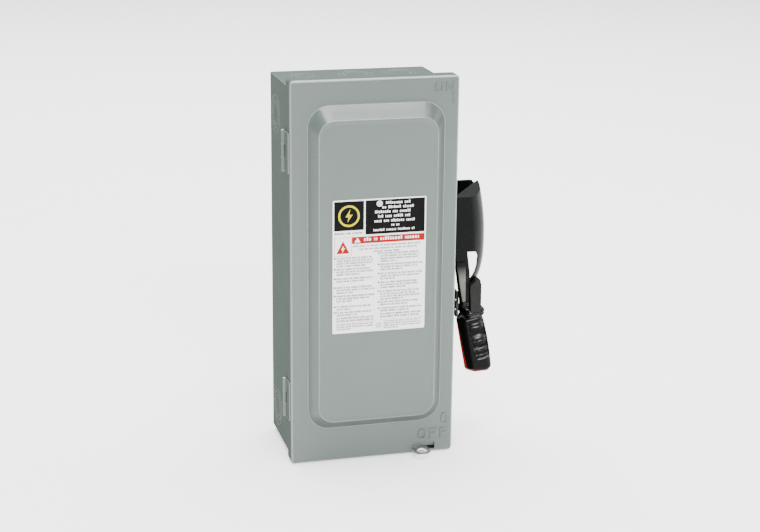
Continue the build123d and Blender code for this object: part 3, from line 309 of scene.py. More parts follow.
def zinc(name, bluish, yellowish):
    """Zinc plating: slightly bluish and yellowish patches, fine drawn scratches."""
    f = Finish(name, Metallic=1.0)
    patches = f.blend(f.ramp(f.noise(60, 5), 0.35, 0.65), bluish, yellowish)
    worn = f.times(f.edges(0.5 * MM), 0.5)
    f.colour(f.blend(worn, patches, (0.84, 0.84, 0.83)))
    f.roughness(f.noise(140, 6, stretch=(1, 1, 0.15)), 0.2, 0.42)
    f.round_edges(0.3 * MM)
    f.bump(f.noise(700, 4, stretch=(0.1, 1, 1)), 0.03 * MM, 0.5)
    return f.done()


def painted_black(name, shade, sheen, relief, edge_sheen=0.0):
    """Black paint on steel, rubbed to grey on its edges and glossier on its outer side."""
    f = Finish(name)
    outer = f.node("ShaderNodeMapRange", {
        "Value": f.turned((1, 0, 0), 0.0, 0.35), "To Min": sheen, "To Max": sheen + edge_sheen})
    f.gloss(f.times(f.turned((1, 0, 0), -0.75, -0.35), outer.outputs["Result"]), 1.0)
    dark = tuple(0.75 * c for c in shade)
    body = f.blend(f.ramp(f.noise(40, 5), 0.3, 0.7), dark, shade)
    rubbed = f.times(f.edges(0.6 * MM), f.ramp(f.noise(180, 5), 0.4, 0.62))
    f.colour(f.blend(f.times(rubbed, 0.7), body, (0.12, 0.12, 0.11)))
    f.roughness(f.noise(80, 6), 0.2, 0.34)
    f.round_edges(0.5 * MM)
    f.bump(f.noise(500, 3), relief * MM, 0.5)
    return f.done()


def moulded(name, shade, light, rough, grain=0.03, speckle=0.0, sheen=0.45, top_sheen=0.0):
    """Moulded plastic with a fine grained surface and, where asked, mineral speckle."""
    f = Finish(name)
    upper = f.node("ShaderNodeMapRange", {
        "Value": f.turned((0, 0, 1), 0.1, 0.5), "To Min": sheen, "To Max": sheen + top_sheen})
    f.gloss(f.times(f.turned((1, 0, 0), -0.75, -0.35), upper.outputs["Result"]), 1.0)
    body = f.blend(f.ramp(f.noise(50, 4), 0.3, 0.7), shade, light)
    if speckle:
        grains = f.times(f.ramp(f.cells(1400), 0.16, 0.05), speckle)
        body = f.blend(grains, body, (0.3, 0.29, 0.27))
    rubbed = f.times(f.edges(0.5 * MM), f.ramp(f.noise(200, 4), 0.4, 0.65))
    f.colour(f.blend(f.times(rubbed, 0.3), body, tuple(min(1, 1.8 * c + 0.04) for c in light)))
    f.roughness(f.noise(120, 5), rough - 0.07, rough + 0.07)
    f.round_edges(0.4 * MM)
    f.bump(f.cells(1800), grain * MM, 0.6)
    return f.done()


def bare_metal(name, bright, dull, rough, stain_scale, streaks):
    """Bare or plated metal with stains and drawing streaks."""
    f = Finish(name, Metallic=1.0)
    stained = f.blend(f.ramp(f.noise(stain_scale, 6, 0.6, distortion=0.4), 0.4, 0.66),
                      bright, dull)
    rubbed = tuple(min(1, 1.15 * c) for c in bright)
    f.colour(f.blend(f.times(f.edges(0.4 * MM), 0.6), stained, rubbed))
    f.roughness(f.noise(160, 5, stretch=streaks), rough - 0.1, rough + 0.1)
    f.round_edges(0.25 * MM)
    f.bump(f.noise(600, 4, stretch=streaks), 0.03 * MM, 0.5)
    return f.done()


def arm_steel():
    """The arm's stiffening strip: black at its top, turning grey further down, a painted reflection
    on its face.
    """
    f = Finish("arm_steel", Specular_IOR_Level=0.06)
    height = f.node("ShaderNodeSeparateXYZ", {0: f.place}).outputs["Z"]
    # painted reflection: black at the top, grey lower down
    reflection_fade = f.ramp(height, -5 * MM, -19 * MM)
    reflected_grey = f.blend(f.ramp(f.noise(200, 5, stretch=(1, 1, 0.1)), 0.3, 0.7),
                    (0.12, 0.117, 0.106), (0.18, 0.175, 0.16))
    f.colour(f.blend(reflection_fade, (0.006, 0.006, 0.006), reflected_grey))
    f.roughness(f.noise(160, 5), 0.35, 0.5)
    f.round_edges(0.3 * MM)
    f.bump(f.noise(500, 4, stretch=(1, 1, 0.1)), 0.03 * MM, 0.5)
    return f.done()


def fibre_tube():
    """Varnished fibre tube with the faint spiral of its wrapped paper."""
    f = Finish("fuse_fibre", Specular_IOR_Level=0.5, Coat_Weight=0.2, Coat_Roughness=0.2)
    spiral = f.node("ShaderNodeTexWave", {
        "Vector": f.stretched((0.35, 0.35, 1)), "Scale": 28.0, "Distortion": 0.6, "Detail": 1.0},
        bands_direction="Z").outputs["Fac"]
    paper = f.blend(f.ramp(f.noise(300, 5), 0.3, 0.7), (0.5, 0.42, 0.26), (0.62, 0.54, 0.36))
    f.colour(f.blend(f.ramp(spiral, 0.93, 1.0), paper, (0.36, 0.28, 0.16)))
    f.roughness(f.noise(90, 5), 0.32, 0.5)
    f.bump(f.noise(500, 5), 0.05 * MM, 0.5)
    return f.done()


def vulcanised_fibre():
    """Grey insulating fibre board with flecks."""
    f = Finish("arc_fibre", Specular_IOR_Level=0.3)
    board = f.blend(f.ramp(f.noise(500, 6, stretch=(1, 1, 0.3)), 0.3, 0.7),
                    (0.34, 0.32, 0.28), (0.48, 0.45, 0.4))
    f.colour(f.blend(f.ramp(f.cells(700), 0.12, 0.04), board, (0.2, 0.18, 0.15)))
    f.roughness(f.noise(200, 4), 0.6, 0.75)
    f.round_edges(0.3 * MM)
    f.bump(f.noise(900, 4), 0.05 * MM, 0.7)
    return f.done()


def clear_sheet():
    """Translucent shield of slightly smoky plastic."""
    f = Finish("shield_plastic", Transmission_Weight=0.85, IOR=1.49, Specular_IOR_Level=0.5)
    f.colour(f.blend(f.ramp(f.noise(30, 4), 0.3, 0.7), (0.82, 0.86, 0.86), (0.9, 0.93, 0.93)))
    f.roughness(f.noise(250, 6), 0.08, 0.24)
    f.bump(f.noise(60, 3), 0.1 * MM, 0.3)
    return f.done()


def printed(name, shade, light, sheen=0.3):
    """Film or ink with faint mottling and a satin face."""
    f = Finish(name, Specular_IOR_Level=sheen)
    f.colour(f.blend(f.ramp(f.noise(140, 5), 0.3, 0.7), shade, light))
    f.roughness(f.noise(90, 5), 0.26, 0.40)
    f.bump(f.noise(45, 3), 0.15 * MM, 0.12)
    return f.done()


def make_materials():
    """All finishes by name; most are named after the record's material slots."""
    drawn, extruded = (1, 0.12, 1), (1, 1, 0.06)
    finishes = [
        enclosure_paint("enclosure_paint", 1.3 * MM, fold=0.6),
        enclosure_paint("bend_paint", 1.0 * MM, crease=0.9, shaded=1.0),
        enclosure_paint("box_paint", 0.5 * MM, crease=0.4),
        # zinc is the plating made darker so its reflections stay dim, painted shade; bright_zinc is
        # a brighter copy for the latch tab so its highlights show, painted highlight
        zinc("zinc", (0.44, 0.45, 0.46), (0.56, 0.55, 0.52)),
        zinc("bright_zinc", (0.76, 0.77, 0.78), (0.88, 0.87, 0.85)),
        fibre_tube(), vulcanised_fibre(), clear_sheet(), arm_steel(),
        painted_black("handle_black", (0.004, 0.0048, 0.0044), 0.06, 0.03, 0.13),
        painted_black("plate_grey", (0.05, 0.05, 0.047), 0.1, 0.05),
        moulded("collar_plastic", (0.003, 0.003, 0.003), (0.005, 0.005, 0.005), 0.26, 0.01,
                sheen=0.2, top_sheen=0.4),
        painted_black("neck_grey", (0.017, 0.017, 0.0158), 0.08, 0.05),
        moulded("grip_plastic", (0.006, 0.006, 0.0057), (0.009, 0.009, 0.0086), 0.3, 0.01,
                sheen=0.035, top_sheen=0.55),
        moulded("grip_red", (0.4, 0.018, 0.02), (0.46, 0.024, 0.026), 0.32, sheen=0.25),
        moulded("base_plastic", (0.016, 0.016, 0.017), (0.026, 0.026, 0.026), 0.5, 0.05, 0.6),
        moulded("rotor_bearing_plastic", (0.42, 0.39, 0.31), (0.5, 0.47, 0.38), 0.45),
        bare_metal("copper", (0.78, 0.42, 0.28), (0.46, 0.22, 0.13), 0.32, 70, drawn),
        bare_metal("bushing_brass", (0.62, 0.42, 0.2), (0.42, 0.27, 0.13), 0.42, 110, (1, 1, 1)),
        bare_metal("lug_aluminium", (0.8, 0.81, 0.82), (0.68, 0.69, 0.7), 0.34, 90, extruded),
        bare_metal("set_screw_steel", (0.16, 0.16, 0.17), (0.09, 0.09, 0.1), 0.38, 120, (1, 1, 1)),
        bare_metal("handle_shaft_steel", (0.55, 0.55, 0.55), (0.4, 0.4, 0.4), 0.28, 80,
                   (0.1, 1, 1)),
        bare_metal("fuse_cap_metal", (0.78, 0.64, 0.4), (0.6, 0.44, 0.24), 0.26, 50, drawn),
        printed("label_film", (0.93, 0.93, 0.93), (0.97, 0.97, 0.97), sheen=0.5),
        printed("ink_black", (0.003, 0.003, 0.003), (0.005, 0.005, 0.005), sheen=0.05),
        printed("ink_grey", (0.009, 0.009, 0.009), (0.015, 0.015, 0.015), sheen=0.05),
        printed("ink_red", (0.3, 0.002, 0.0015), (0.35, 0.003, 0.002), sheen=0.1),
        printed("ink_yellow", (0.52, 0.47, 0.002), (0.58, 0.52, 0.003), sheen=0.1),
        printed("ink_white", (0.88, 0.88, 0.88), (0.93, 0.93, 0.93)),
    ]
    return dict(finishes)


NODE_FINISHES = {
    "enclosure_box": "box_paint", "box_hinge_knuckles": "box_paint",
    "door_hinge_leaves": "box_paint", "neck_cover": "neck_grey", "lock_plate": "plate_grey",
    "lock_plate_pins": "handle_black", "stiffener_clip": "neck_grey"}


def paint_cad_nodes(materials):
    """Each CAD node takes the finish of its slot, or one of its own where it differs."""
    for part in frame["record"]["subparts"]:
        name = part["node"]
        mesh = nodes[name].data
        mesh.materials.clear()
        mesh.materials.append(materials[NODE_FINISHES.get(name, part["material_slot"])])


# ---------------------------------------------------------------- pieces
def add_piece(name, form, material, body, sharp_angle=40):
    """A mesh object from a bmesh, smooth but for its sharp edges, riding on a body."""
    bmesh.ops.recalc_face_normals(form, faces=form.faces)
    mesh = bpy.data.meshes.new(name)
    form.to_mesh(mesh)
    form.free()
    mesh.polygons.foreach_set("use_smooth", [True] * len(mesh.polygons))
    mesh.set_sharp_from_angle(angle=math.radians(sharp_angle))
    mesh.materials.append(material)
    piece = bpy.data.objects.new(name, mesh)
    bpy.context.scene.collection.objects.link(piece)
    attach(piece, body)
    return piece


class Print:
    """Ink shapes on a label's face. x goes right and y down from its top left, in millimetres."""

    INK = 0.03

    def __init__(self, left, top, face, inward=1):
        self.left, self.top, self.face, self.inward = left, top, face, inward
        self.inks = {}

    def polygon(self, ink, points, layer=0):
        """A flat shape of ink, one layer of ink thick."""
        form = self.inks.setdefault(ink, bmesh.new())
        low, high = layer * self.INK, (layer + 1) * self.INK

        def ring(height):
            y = self.face - self.inward * height * MM
            return [form.verts.new((self.left + self.inward * x * MM, y, self.top - z * MM))
                    for x, z in points]

        back, front = ring(low), ring(high)
        form.faces.new(front)
        form.faces.new(back[::-1])
        count = len(points)
        for i in range(count):
            j = (i + 1) % count
            form.faces.new((back[i], back[j], front[j], front[i]))

    def bar(self, ink, x, y, layer=0):
        """A filled rectangle."""
        self.polygon(ink, [(x[0], y[0]), (x[1], y[0]), (x[1], y[1]), (x[0], y[1])], layer)

    def frame(self, ink, x, y, width, layer=0):
        """The outline of a rectangle."""
        self.bar(ink, x, (y[0], y[0] + width), layer)
        self.bar(ink, x, (y[1] - width, y[1]), layer)
        self.bar(ink, (x[0], x[0] + width), (y[0] + width, y[1] - width), layer)
        self.bar(ink, (x[1] - width, x[1]), (y[0] + width, y[1] - width), layer)

    def disc(self, ink, centre, radius, layer=0):
        """A filled circle."""
        turns = [2 * math.pi * i / 36 for i in range(36)]
        self.polygon(ink, [(centre[0] + radius * math.cos(t), centre[1] + radius * math.sin(t))
                           for t in turns], layer)

    def ring(self, ink, centre, outer, inner, layer=0, count=48):
        """A ring made of short wedges side by side."""
        for i in range(count):
            t, u = 2 * math.pi * i / count, 2 * math.pi * (i + 1) / count
            self.polygon(ink, [(centre[0] + r * math.cos(a), centre[1] + r * math.sin(a))
                               for r, a in ((outer, t), (outer, u), (inner, u), (inner, t))],
                         layer)

    def bolt(self, ink, centre, height, layer=0):
        """A plain lightning sign."""
        shape = [(0.1, -0.5), (-0.28, 0.08), (-0.04, 0.08), (-0.12, 0.5), (0.28, -0.1),
                 (0.03, -0.1)]
        self.polygon(ink, [(centre[0] + x * height, centre[1] + y * height) for x, y in shape],
                     layer)

    def words(self, ink, x, y, height, rng, share=1.0, layer=0, weight=0.66):
        """A line of nonsense print: words of plain blocks with the look of small type."""
        end = x[0] + (x[1] - x[0]) * share
        at = x[0]
        while at < end - height:
            for _ in range(rng.randint(2, 9)):
                width = height * rng.uniform(0.22, 0.5)
                if at + width > end:
                    break
                rise = rng.choice((0.0, 0.0, 0.0, 0.2))
                self.bar(ink, (at, at + width), (y - rise * height, y + weight * height), layer)
                at += width + 0.24 * height
            at += 0.55 * height

    def finish(self, name, materials, body):
        """One piece for each ink."""
        for ink, form in self.inks.items():
            add_piece(f"{name}_{ink}", form, materials[ink], body, 30)


def print_front_label(materials):
    """Stand-in printing in the colours and blocks of a switch's label; no real words."""
    rng = random.Random(7)
    low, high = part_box("front_label")
    label = Print(low[0], high[2], low[1])
    width = (high[0] - low[0]) / MM
    middle = (31.7, width - 1.3)

    # black block with a sign in a ring, and a line of print under it
    sign = (15.7, 15.5)
    label.bar("ink_black", (1.3, 30.2), (1.3, 29.6))
    label.ring("ink_yellow", sign, 10.4, 8.5, 1)
    label.bolt("ink_yellow", sign, 12.5, 1)
    label.words("ink_black", (1.8, 29.6), 31.4, 2.3, rng, weight=0.8)

    # black block with seven lines of white print
    label.bar("ink_black", middle, (1.2, 34.4))
    seal = (45.4, 5.0)
    label.disc("ink_white", seal, 2.9, 1)
    label.ring("ink_black", seal, 1.9, 1.3, 2, 24)
    for y, x0, x1, size in ((3.6, 51.5, 79.5, 3.0), (7.9, 48, 83, 3.0), (12.2, 41, 79.5, 3.0),
                            (16.6, 44, 77, 3.0), (21.0, 40.5, 80, 3.0), (25.4, 57, 65, 2.6),
                            (29.8, 39.5, 81.5, 2.6)):
        label.words("ink_white", (x0, x1), y, size, rng, layer=1)

    # red band with a triangle and bold white print
    label.bar("ink_red", (18.7, width - 1.3), (36.1, 42.8))
    label.polygon("ink_white", [(21, 41.6), (24, 37), (27, 41.6)], 1)
    label.words("ink_white", (30.5, 85.5), 37.9, 3.9, rng, layer=1)

    # red sign in a thin frame
    label.frame("ink_red", (1.5, 18.6), (36.1, 54.3), 0.3)
    label.polygon("ink_red", [(3.6, 51.8), (10.0, 39.4), (16.4, 51.8)])
    label.bolt("ink_white", (10.0, 47.3), 7.0, 1)

    # heading lines, then two columns of notes with bullets
    for y, x0, x1 in ((44.6, 19.8, 87.5), (47.6, 25.5, 83), (50.6, 40, 67.5)):
        label.words("ink_grey", (x0, x1), y, 1.7, rng, weight=0.9)
    left_notes = [(55.6, 4), (66.4, 3), (75.6, 2), (84.4, 3), (92.8, 3), (103.4, 2), (109.2, 2)]
    right_notes = [(52.9, 4), (63.8, 3), (72.9, 3), (81.6, 3), (90.6, 4), (101.2, 2), (107.4, 2)]
    gap = 2.55
    for x, notes in (((3.9, 41.5), left_notes), ((46.8, 88.3), right_notes)):
        for top, count in notes:
            label.bar("ink_black", (x[0] - 2.5, x[0] - 1.0), (top - 0.2, top + 1.4))
            for line in range(count):
                share = rng.uniform(0.86, 1.0) if line < count - 1 else rng.uniform(0.3, 0.75)
                label.words("ink_grey", x, top + gap * line, 1.3, rng, share, weight=1.25)
        for line in range(2):
            label.words("ink_black", x, notes[-1][0] + 5.6 + 2.7 * line, 1.3, rng, 0.97,
                        weight=1.4)
    label.bar("ink_grey", (1.5, 41.5), (120.4, 120.65))
    label.bar("ink_grey", (46.8, width - 1.5), (119.4, 119.65))
    for x, top, count in (((3.9, 40.5), 121.6, 3), ((50.5, 87), 120.8, 4)):
        for line in range(count):
            share = 1.0 if line < count - 1 else 0.4
            label.words("ink_grey", x, top + 2.2 * line, 1.1, rng, share, weight=1.25)
    stamp = (45.4, 125.2)
    label.ring("ink_grey", stamp, 3.1, 2.7, 0, 32)
    label.ring("ink_grey", stamp, 1.8, 1.2, 0, 24)
    label.finish("front_label", materials, "door")


def print_wiring_label(materials):
    """The sheet inside the door: a plain three-pole diagram and lines of nonsense print."""
    rng = random.Random(11)
    low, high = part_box("wiring_label")
    label = Print(high[0], high[2], high[1], -1)
    width, height = (high[0] - low[0]) / MM, (high[2] - low[2]) / MM
    label.frame("ink_black", (2, width - 2), (2, height - 2), 0.4)
    label.bar("ink_black", (2.4, width - 2.4), (10.5, 10.9))
    label.words("ink_black", (6, width - 30), 4.8, 3.0, rng)
    for pole in (20, 44, 68):
        wire = (pole - 0.25, pole + 0.25)
        label.disc("ink_black", (pole, 17), 1.3)
        label.bar("ink_black", wire, (18.3, 26))
        label.polygon("ink_black", [(pole + 4.6, 27.4), (pole + 5.1, 27.6), (wire[1], 35.5),
                                    (wire[0], 35.5)])
        label.bar("ink_black", wire, (35.5, 42))
        label.frame("ink_black", (pole - 2, pole + 2), (42, 52), 0.4)
        label.bar("ink_black", wire, (42.4, 51.6))
        label.bar("ink_black", wire, (52, 60))
        label.disc("ink_black", (pole, 61.3), 1.3)
    for i in range(14):
        label.bar("ink_black", (16 + 4.5 * i, 18.6 + 4.5 * i), (31.0, 31.4))
    for row in range(17):
        share = rng.uniform(0.85, 1.0) if row % 4 < 3 else 0.5
        label.words("ink_grey", (6, width - 6), 68 + 3.3 * row, 1.5, rng, share)
    label.finish("wiring_label", materials, "door")


# ---------------------------------------------------------------- grip of the handle
SPLAY = math.radians(11)
GRIP_AT = Vector((112.8, -54, -58))                       # top middle of the grip, in mm
GRIP_ACROSS = Vector((math.cos(SPLAY), 0, math.sin(SPLAY)))
GRIP_FRONT = Vector((0, -1, 0))
GRIP_DOWN = Vector((math.sin(SPLAY), 0, -math.cos(SPLAY)))
GRIP_END, END_FRONT = 60, 18                              # s and v of the end's front edge
END_DROP = 10.5 / 36                                      # the end drops towards the wall
GRIP_BACK = -18                                           # v of the grip's back
WIDEST, LAST = 30, 76                                     # s of the widest and the last section
GRIP_LEFT, GRIP_RIGHT = (-9.6, -9.8, -9.6), (11.0, 12.5, 10.2)   # u at the top, widest and last
GRIP_FACE = (17.6, 18.2, 17.2)                            # v of its front there
GRIP_CORNERS = (2.6, 7.0, 5.0, 3.2)                       # front left, front right, back ones
SHOULDER = 3                                              # s where the grip leaves the collar
FIRST_LINES, EVEN_LINES, LINE_GAP = (0, 0.35, 1.0, 2.0), 83, 0.7   # rings down the grip
TOP_ROUND, END_ROUND, RUN = 2.0, 4.0, 62                  # roundings, and the length they are on
SEAM = ((-14.6, 3), (-3.5, 65))                           # v, s of the red back's edge
CAP_END = 12.0                                            # s where the red back begins
CORNER_STEPS, SIDE_STEPS = 10, 22                         # points on a ring's corners and sides


def on_grip(u, v, s):
    """A point of the grip: u outward, v to the front and s down it, in mm."""
    return (GRIP_AT + u * GRIP_ACROSS + v * GRIP_FRONT + s * GRIP_DOWN) * MM


def rounded_section(x, y, radii, per_corner, per_side):
    """Points round a rectangle with its own radius at each corner, from the front left."""
    corners = ((x[0], y[1], 1, -1, math.pi), (x[1], y[1], -1, -1, math.pi / 2),
               (x[1], y[0], -1, 1, 0.0), (x[0], y[0], 1, 1, -math.pi / 2))
    points = []
    for (cx, cy, sx, sy, start), r in zip(corners, radii):
        arc = [(cx + sx * r + r * math.cos(start - math.pi / 2 * i / per_corner),
                cy + sy * r + r * math.sin(start - math.pi / 2 * i / per_corner))
               for i in range(per_corner + 1)]
        if points:
            last = points[-1]
            points += [(last[0] + (arc[0][0] - last[0]) * i / per_side,
                        last[1] + (arc[0][1] - last[1]) * i / per_side)
                       for i in range(1, per_side)]
        points += arc
    last, first = points[-1], points[0]
    points += [(last[0] + (first[0] - last[0]) * i / per_side,
                last[1] + (first[1] - last[1]) * i / per_side) for i in range(1, per_side)]
    return points


def skin(form, rings, closed=False):
    """Quads between rings of vertices, ended by two faces or closed back to the first ring."""
    made = [[form.verts.new(point) for point in ring] for ring in rings]
    count = len(made[0])
    following = made[1:] + made[:1] if closed else made[1:]
    for near, far in zip(made, following):
        for i in range(count):
            j = (i + 1) % count
            form.faces.new((near[i], near[j], far[j], far[i]))
    if not closed:
        form.faces.new(made[0])
        form.faces.new(made[-1][::-1])


def smooth_step(value, low, high):
    """0 below low, 1 above high, and an S-shaped rise between them."""
    t = min(1, max(0, (value - low) / (high - low)))
    return t * t * (3 - 2 * t)


def grip_halfway(s, top, middle, end):
    """A size that is top, middle and end at the grip's shoulder, widest and last sections."""
    if s < WIDEST:
        down = max(0, s - SHOULDER) / (WIDEST - SHOULDER)
        return top + (middle - top) * math.sin(math.pi / 2 * down)
    return middle + (end - middle) * ((s - WIDEST) / (LAST - WIDEST)) ** 1.6


POCKET, POCKET_WALL = (6.5, 48), 2.5                      # finger pocket, down the grip
POCKET_DEEP, POCKET_LEFT = 3.4, -7.4
RIDGES = ((12.6, 5.4), (27.9, 5.6), (38.2, 3.0), (44.4, 2.0))    # middle and half height of each
RIDGE_MIDDLE, RIDGE_HALF = 2.4, 9.3                       # across the grip


def pocket_depth(u, v, s):
    """How far the finger pocket sinks below the grip's front at a point."""
    rib = POCKET_LEFT + 3.4 * smooth_step(s, 20, 48)      # edge that borders the pocket
    inside = (smooth_step(u, rib, rib + 1.2) * smooth_step(-u, -11.4, -9.4)
              * smooth_step(v, 3, 12) * smooth_step(s, POCKET[0], POCKET[0] + POCKET_WALL)
              * smooth_step(-s, -POCKET[1], POCKET_WALL - POCKET[1]))
    rise = 0.0
    for middle, half in RIDGES:
        away = ((u - RIDGE_MIDDLE) / RIDGE_HALF) ** 2 + ((s - middle) / half) ** 2
        if away < 1:
            crease = 0.25 * math.exp(-((s - middle) / 0.7) ** 2)
            rise = max(rise, (1 - away) ** 0.55 - crease)
    return inside * POCKET_DEEP * (1 - 0.95 * rise)


def grip_end(u, v):
    """How far down the grip it ends: level across, dropping to the wall, rounded outside."""
    corner = min(1, max(0, (u - 4.5) / 8.6))
    level = GRIP_END + 0.16 * u + (END_FRONT - v) * END_DROP
    return level - 4.6 * (1 - math.sqrt(1 - corner ** 2))


def grip_rings(extra_end):
    """Rings of the whole grip, with its shoulder, finger pocket and rounded end."""
    rings = []
    lines = list(FIRST_LINES) + [3.0 + LINE_GAP * i for i in range(EVEN_LINES)]
    for line in lines:
        down = line / lines[-1]
        s_mid = SHOULDER + down * (GRIP_END - SHOULDER)
        near_end = max(0.0, 1 - (1 - down) * RUN / END_ROUND)
        tuck = END_ROUND * (1 - math.sqrt(max(0.0, 1 - near_end ** 2))) * 0.8
        near_top = max(0.0, 1 - line / TOP_ROUND)
        tuck += TOP_ROUND * (1 - math.sqrt(max(0.0, 1 - near_top ** 2)))
        x = (grip_halfway(s_mid, *GRIP_LEFT) + tuck, grip_halfway(s_mid, *GRIP_RIGHT) - tuck)
        y = (GRIP_BACK + tuck, grip_halfway(s_mid, *GRIP_FACE) - tuck)
        ring = []
        for u, v in rounded_section(x, y, GRIP_CORNERS, CORNER_STEPS, SIDE_STEPS):
            top = SHOULDER + 7.5 * smooth_step(-u, 1, 9.5) * smooth_step(-v, -6, 12)
            end = grip_end(u, v) + extra_end
            s = top + down * (end - top)
            ring.append(on_grip(u, v - pocket_depth(u, v, s), s))
        rings.append(ring)
    return rings


def cut_through(form, place, normal, keep_far):
    """Keeps what lies on the far or the near side of a plane, and closes the cut."""
    cut = bmesh.ops.bisect_plane(form, geom=form.verts[:] + form.edges[:] + form.faces[:],
                                 plane_co=place, plane_no=normal,
                                 clear_inner=keep_far, clear_outer=not keep_far)
    edges = [e for e in cut["geom_cut"] if isinstance(e, bmesh.types.BMEdge)]
    bmesh.ops.holes_fill(form, edges=edges)


def cut_grip(form, keep_front, gap):
    """Keeps the black front or the red back of the grip."""
    (v, s), (end_v, end_s) = SEAM
    lean = (end_v - v) / (end_s - s)
    normal = (GRIP_FRONT - lean * GRIP_DOWN).normalized()
    shift = normal * gap * MM * (1 if keep_front else -1)
    cut_through(form, on_grip(0, v, s) + shift, normal, keep_front)


def make_grip(materials):
    """The black shell of the grip, its red back and the black cap above the red."""
    for name, node, finish, keep_front, extra, keep_lower in (
            ("grip_shell", "grip_body", "grip_plastic", True, 0.0, None),
            ("grip_back", "grip_insert", "grip_red", False, 0.7, True),
            ("grip_back_cap", "grip_body", "grip_plastic", False, 0.7, False)):
        form = bmesh.new()
        skin(form, grip_rings(extra))
        cut_grip(form, keep_front, 0.06)
        if keep_lower is not None:
            cut_through(form, on_grip(0, 0, CAP_END), GRIP_DOWN, keep_lower)
        piece = add_piece(name, form, materials[finish], "handle", 50)
        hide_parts(node)


SOLE_U, SOLE_V = (-9.6, 10.4), (-16.5, 17.2)              # across the grip, and back to front
SOLE_CORNERS = (2.4, 6.0, 5.0, 3.0)
SOLE_RINGS = ((-1.0, 2.2), (0.0, 1.6), (0.45, 1.6), (0.8, 2.1))   # below the end, and inward


def make_sole(materials):
    """The red edge that shows under the black shell at the grip's end."""
    form = bmesh.new()
    rings = []
    for deeper, tuck in SOLE_RINGS:
        section = rounded_section((SOLE_U[0] + tuck, SOLE_U[1] - tuck),
                                  (SOLE_V[0] + tuck, SOLE_V[1] - tuck),
                                  SOLE_CORNERS, CORNER_STEPS, SIDE_STEPS)
        rings.append([on_grip(u, v, grip_end(u, v) + deeper) for u, v in section])
    skin(form, rings)
    piece = add_piece("grip_sole", form, materials["grip_red"], "handle", 50)
    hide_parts("grip_insert")


STRIP_Y = (-75.3, -74.0)                                  # crown and foot of the arm's strip
STRIP_ROWS = ((-1.0, 94.4, 101.6), (-3.0, 93.6, 102.4), (-12.0, 95.2, 102.9),
              (-20.0, 96.6, 103.1), (-30.0, 98.3, 103.3), (-40.5, 100.1, 103.5),
              (-42.0, 100.5, 103.2))                      # z, left and right


def make_stiffener(materials):
    """The tapered strip pressed on the front of the handle's arm."""
    crown_y, foot_y = STRIP_Y
    form = bmesh.new()
    rings = []
    for z, left, right in STRIP_ROWS:
        middle, half = (left + right) / 2, (right - left) / 2
        crown = [(middle + half * k / 6, crown_y + 0.5 * abs(k / 6) ** 3) for k in range(-6, 7)]
        section = [(left, foot_y)] + crown + [(right, foot_y)]
        rings.append([Vector((x, y, z)) * MM for x, y in section])
    skin(form, rings)
    piece = add_piece("arm_strip", form, materials["arm_steel"], "handle", 50)
    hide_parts("arm_stiffener")


COLLAR_TOP, COLLAR_LEN, COLLAR_RINGS = -7, 10.3, 40
COLLAR_U, COLLAR_V, COLLAR_CORNERS = (-7.0, 12.2), (-13, 19.6), (5.5, 6.5, 6, 6)
BULGE, TUCK_IN = 3.2, 1.9
GROOVE, GROOVE_AT, GROOVE_HALF = 1.3, 0.62, 0.08          # depth, place and size of the groove


def make_collar(materials):
    """The bulged neck of the grip, with a groove round its middle."""
    form = bmesh.new()
    rings = []
    for k in range(COLLAR_RINGS + 1):
        t = k / COLLAR_RINGS
        bulge = BULGE * math.sin(math.pi * t) ** 0.6 - TUCK_IN
        out = bulge - GROOVE * math.exp(-((t - GROOVE_AT) / GROOVE_HALF) ** 2)
        section = rounded_section((COLLAR_U[0] - out, COLLAR_U[1] + out),
                                  (COLLAR_V[0] - out, COLLAR_V[1] + out),
                                  COLLAR_CORNERS, CORNER_STEPS, 12)
        rings.append([on_grip(u, v, COLLAR_TOP + COLLAR_LEN * t) for u, v in section])
    skin(form, rings)
    piece = add_piece("grip_neck", form, materials["collar_plastic"], "handle", 60)
    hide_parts("grip_collar")


# ---------------------------------------------------------------- drawn bends of the door
DOOR_FACE, PANEL_RISE = -99.0, 12.0                       # y of the door, height of its panel
PANEL_FOOT = (4.5, 6.35, 132.6, 318.7, 21.0)              # middle x and z, width, height, radius
PANEL_TOP = (3.7, 5.25, 115.0, 296.5, 15.0)
# steps up the slope: 0 is the foot and 1 the top, the ends lie just under the door's skin
SLOPE_STEPS = ((-0.4, -0.25), (-0.2, 0.03), (-0.1, 0.03), (0.0, 0.03), (0.25, 0.03), (0.5, 0.1),
               (0.75, 0.3), (1.0, 0.42), (1.1, 0.36), (1.2, 0.22), (1.3, 0.08), (1.5, -0.25))


def make_panel_bend(materials):
    """The drawn bends that carry the door's raised panel, with a painted highlight line at each
    bend.
    """
    front, back = [], []
    for t, cover in SLOPE_STEPS:
        x, z, width, height, radius = (a + (b - a) * t for a, b in zip(PANEL_FOOT, PANEL_TOP))
        surface = DOOR_FACE - PANEL_RISE * min(1, max(0, t))
        section = rounded_section((x - width / 2, x + width / 2), (z - height / 2, z + height / 2),
                                  (radius,) * 4, 14, 8)
        front.append([Vector((a, surface - cover, b)) * MM for a, b in section])
        back.append([Vector((a, surface + 0.5, b)) * MM for a, b in section])
    form = bmesh.new()
    skin(form, front + back[::-1], closed=True)
    add_piece("panel_bend", form, materials["bend_paint"], "door", 24)


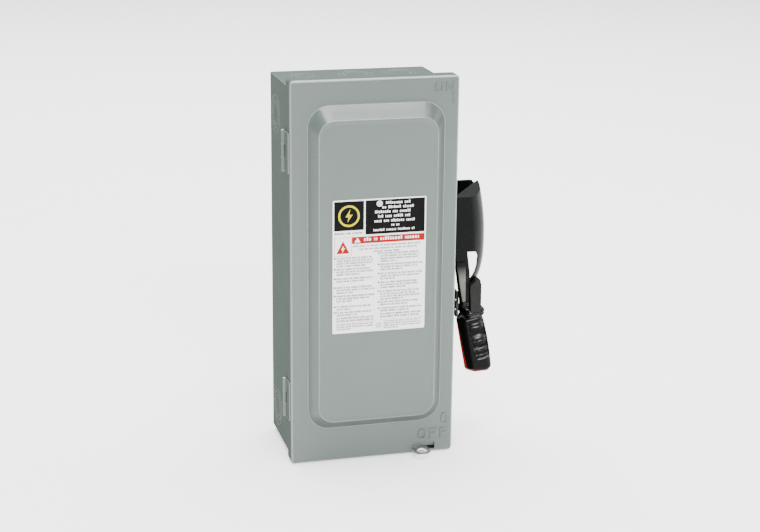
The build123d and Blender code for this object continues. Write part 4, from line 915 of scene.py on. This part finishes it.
# ---------------------------------------------------------------- latch tab
TAB_LEFT = [(45.2, -99.8), (42.2, -102.5), (41.6, -108.5)]      # x, y from the door forward
TAB_RIGHT = [(59.4, -108.5), (59.2, -99.5), (59.2, -80)]        # and back again
NOSE_AT, NOSE_RADII, NOSE_STEPS = (50.5, -109.5), (8.9, 8.8), 14
SHARP, ROLL = 1.2, 0.55                                         # radians, and the roll's size
HOLE_AT, HOLE_R, HOLE_STEPS = (51.6, -107.5), 5.0, 40


def make_latch_tab(materials):
    """The plated tab under the door: pressed steel with rolled edges and a padlock hole."""
    low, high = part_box("latch_tab")
    right, back = high[0] / MM, high[1] / MM
    nose = []
    for i in range(NOSE_STEPS + 1):
        a = math.pi + math.pi * i / NOSE_STEPS
        nose.append((NOSE_AT[0] + NOSE_RADII[0] * math.cos(a),
                     NOSE_AT[1] + NOSE_RADII[1] * math.sin(a)))
    outline = [(TAB_LEFT[0][0], back)] + TAB_LEFT + nose + TAB_RIGHT + [(right, -78), (right, back)]
    form = bmesh.new()
    bottom = [form.verts.new((x * MM, y * MM, low[2])) for x, y in outline]
    circle = [form.verts.new(((HOLE_AT[0] + HOLE_R * math.cos(a)) * MM,
                              (HOLE_AT[1] + HOLE_R * math.sin(a)) * MM, low[2]))
              for a in (2 * math.pi * i / HOLE_STEPS for i in range(HOLE_STEPS))]
    edges = []
    for loop in (bottom, circle):
        edges += [form.edges.new((loop[i], loop[(i + 1) % len(loop)])) for i in range(len(loop))]
    bmesh.ops.triangle_fill(form, use_beauty=True, edges=edges)
    made = bmesh.ops.extrude_face_region(form, geom=form.faces[:])
    top = [v for v in made["geom"] if isinstance(v, bmesh.types.BMVert)]
    bmesh.ops.translate(form, verts=top, vec=(0, 0, high[2] - low[2]))
    bmesh.ops.recalc_face_normals(form, faces=form.faces)
    sharp = [e for e in form.edges if len(e.link_faces) == 2 and e.calc_face_angle(0) > SHARP]
    bmesh.ops.bevel(form, geom=sharp, offset=ROLL * MM, segments=4, profile=0.5,
                    affect="EDGES", clamp_overlap=True)
    piece = add_piece("latch_pull", form, materials["bright_zinc"], "latch", 35)
    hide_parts("latch_tab")


add_camera()
add_studio()
add_floor()
materials = make_materials()
paint_cad_nodes(materials)
print_front_label(materials)
print_wiring_label(materials)
make_grip(materials)
make_sole(materials)
make_stiffener(materials)
make_collar(materials)
make_panel_bend(materials)
make_latch_tab(materials)
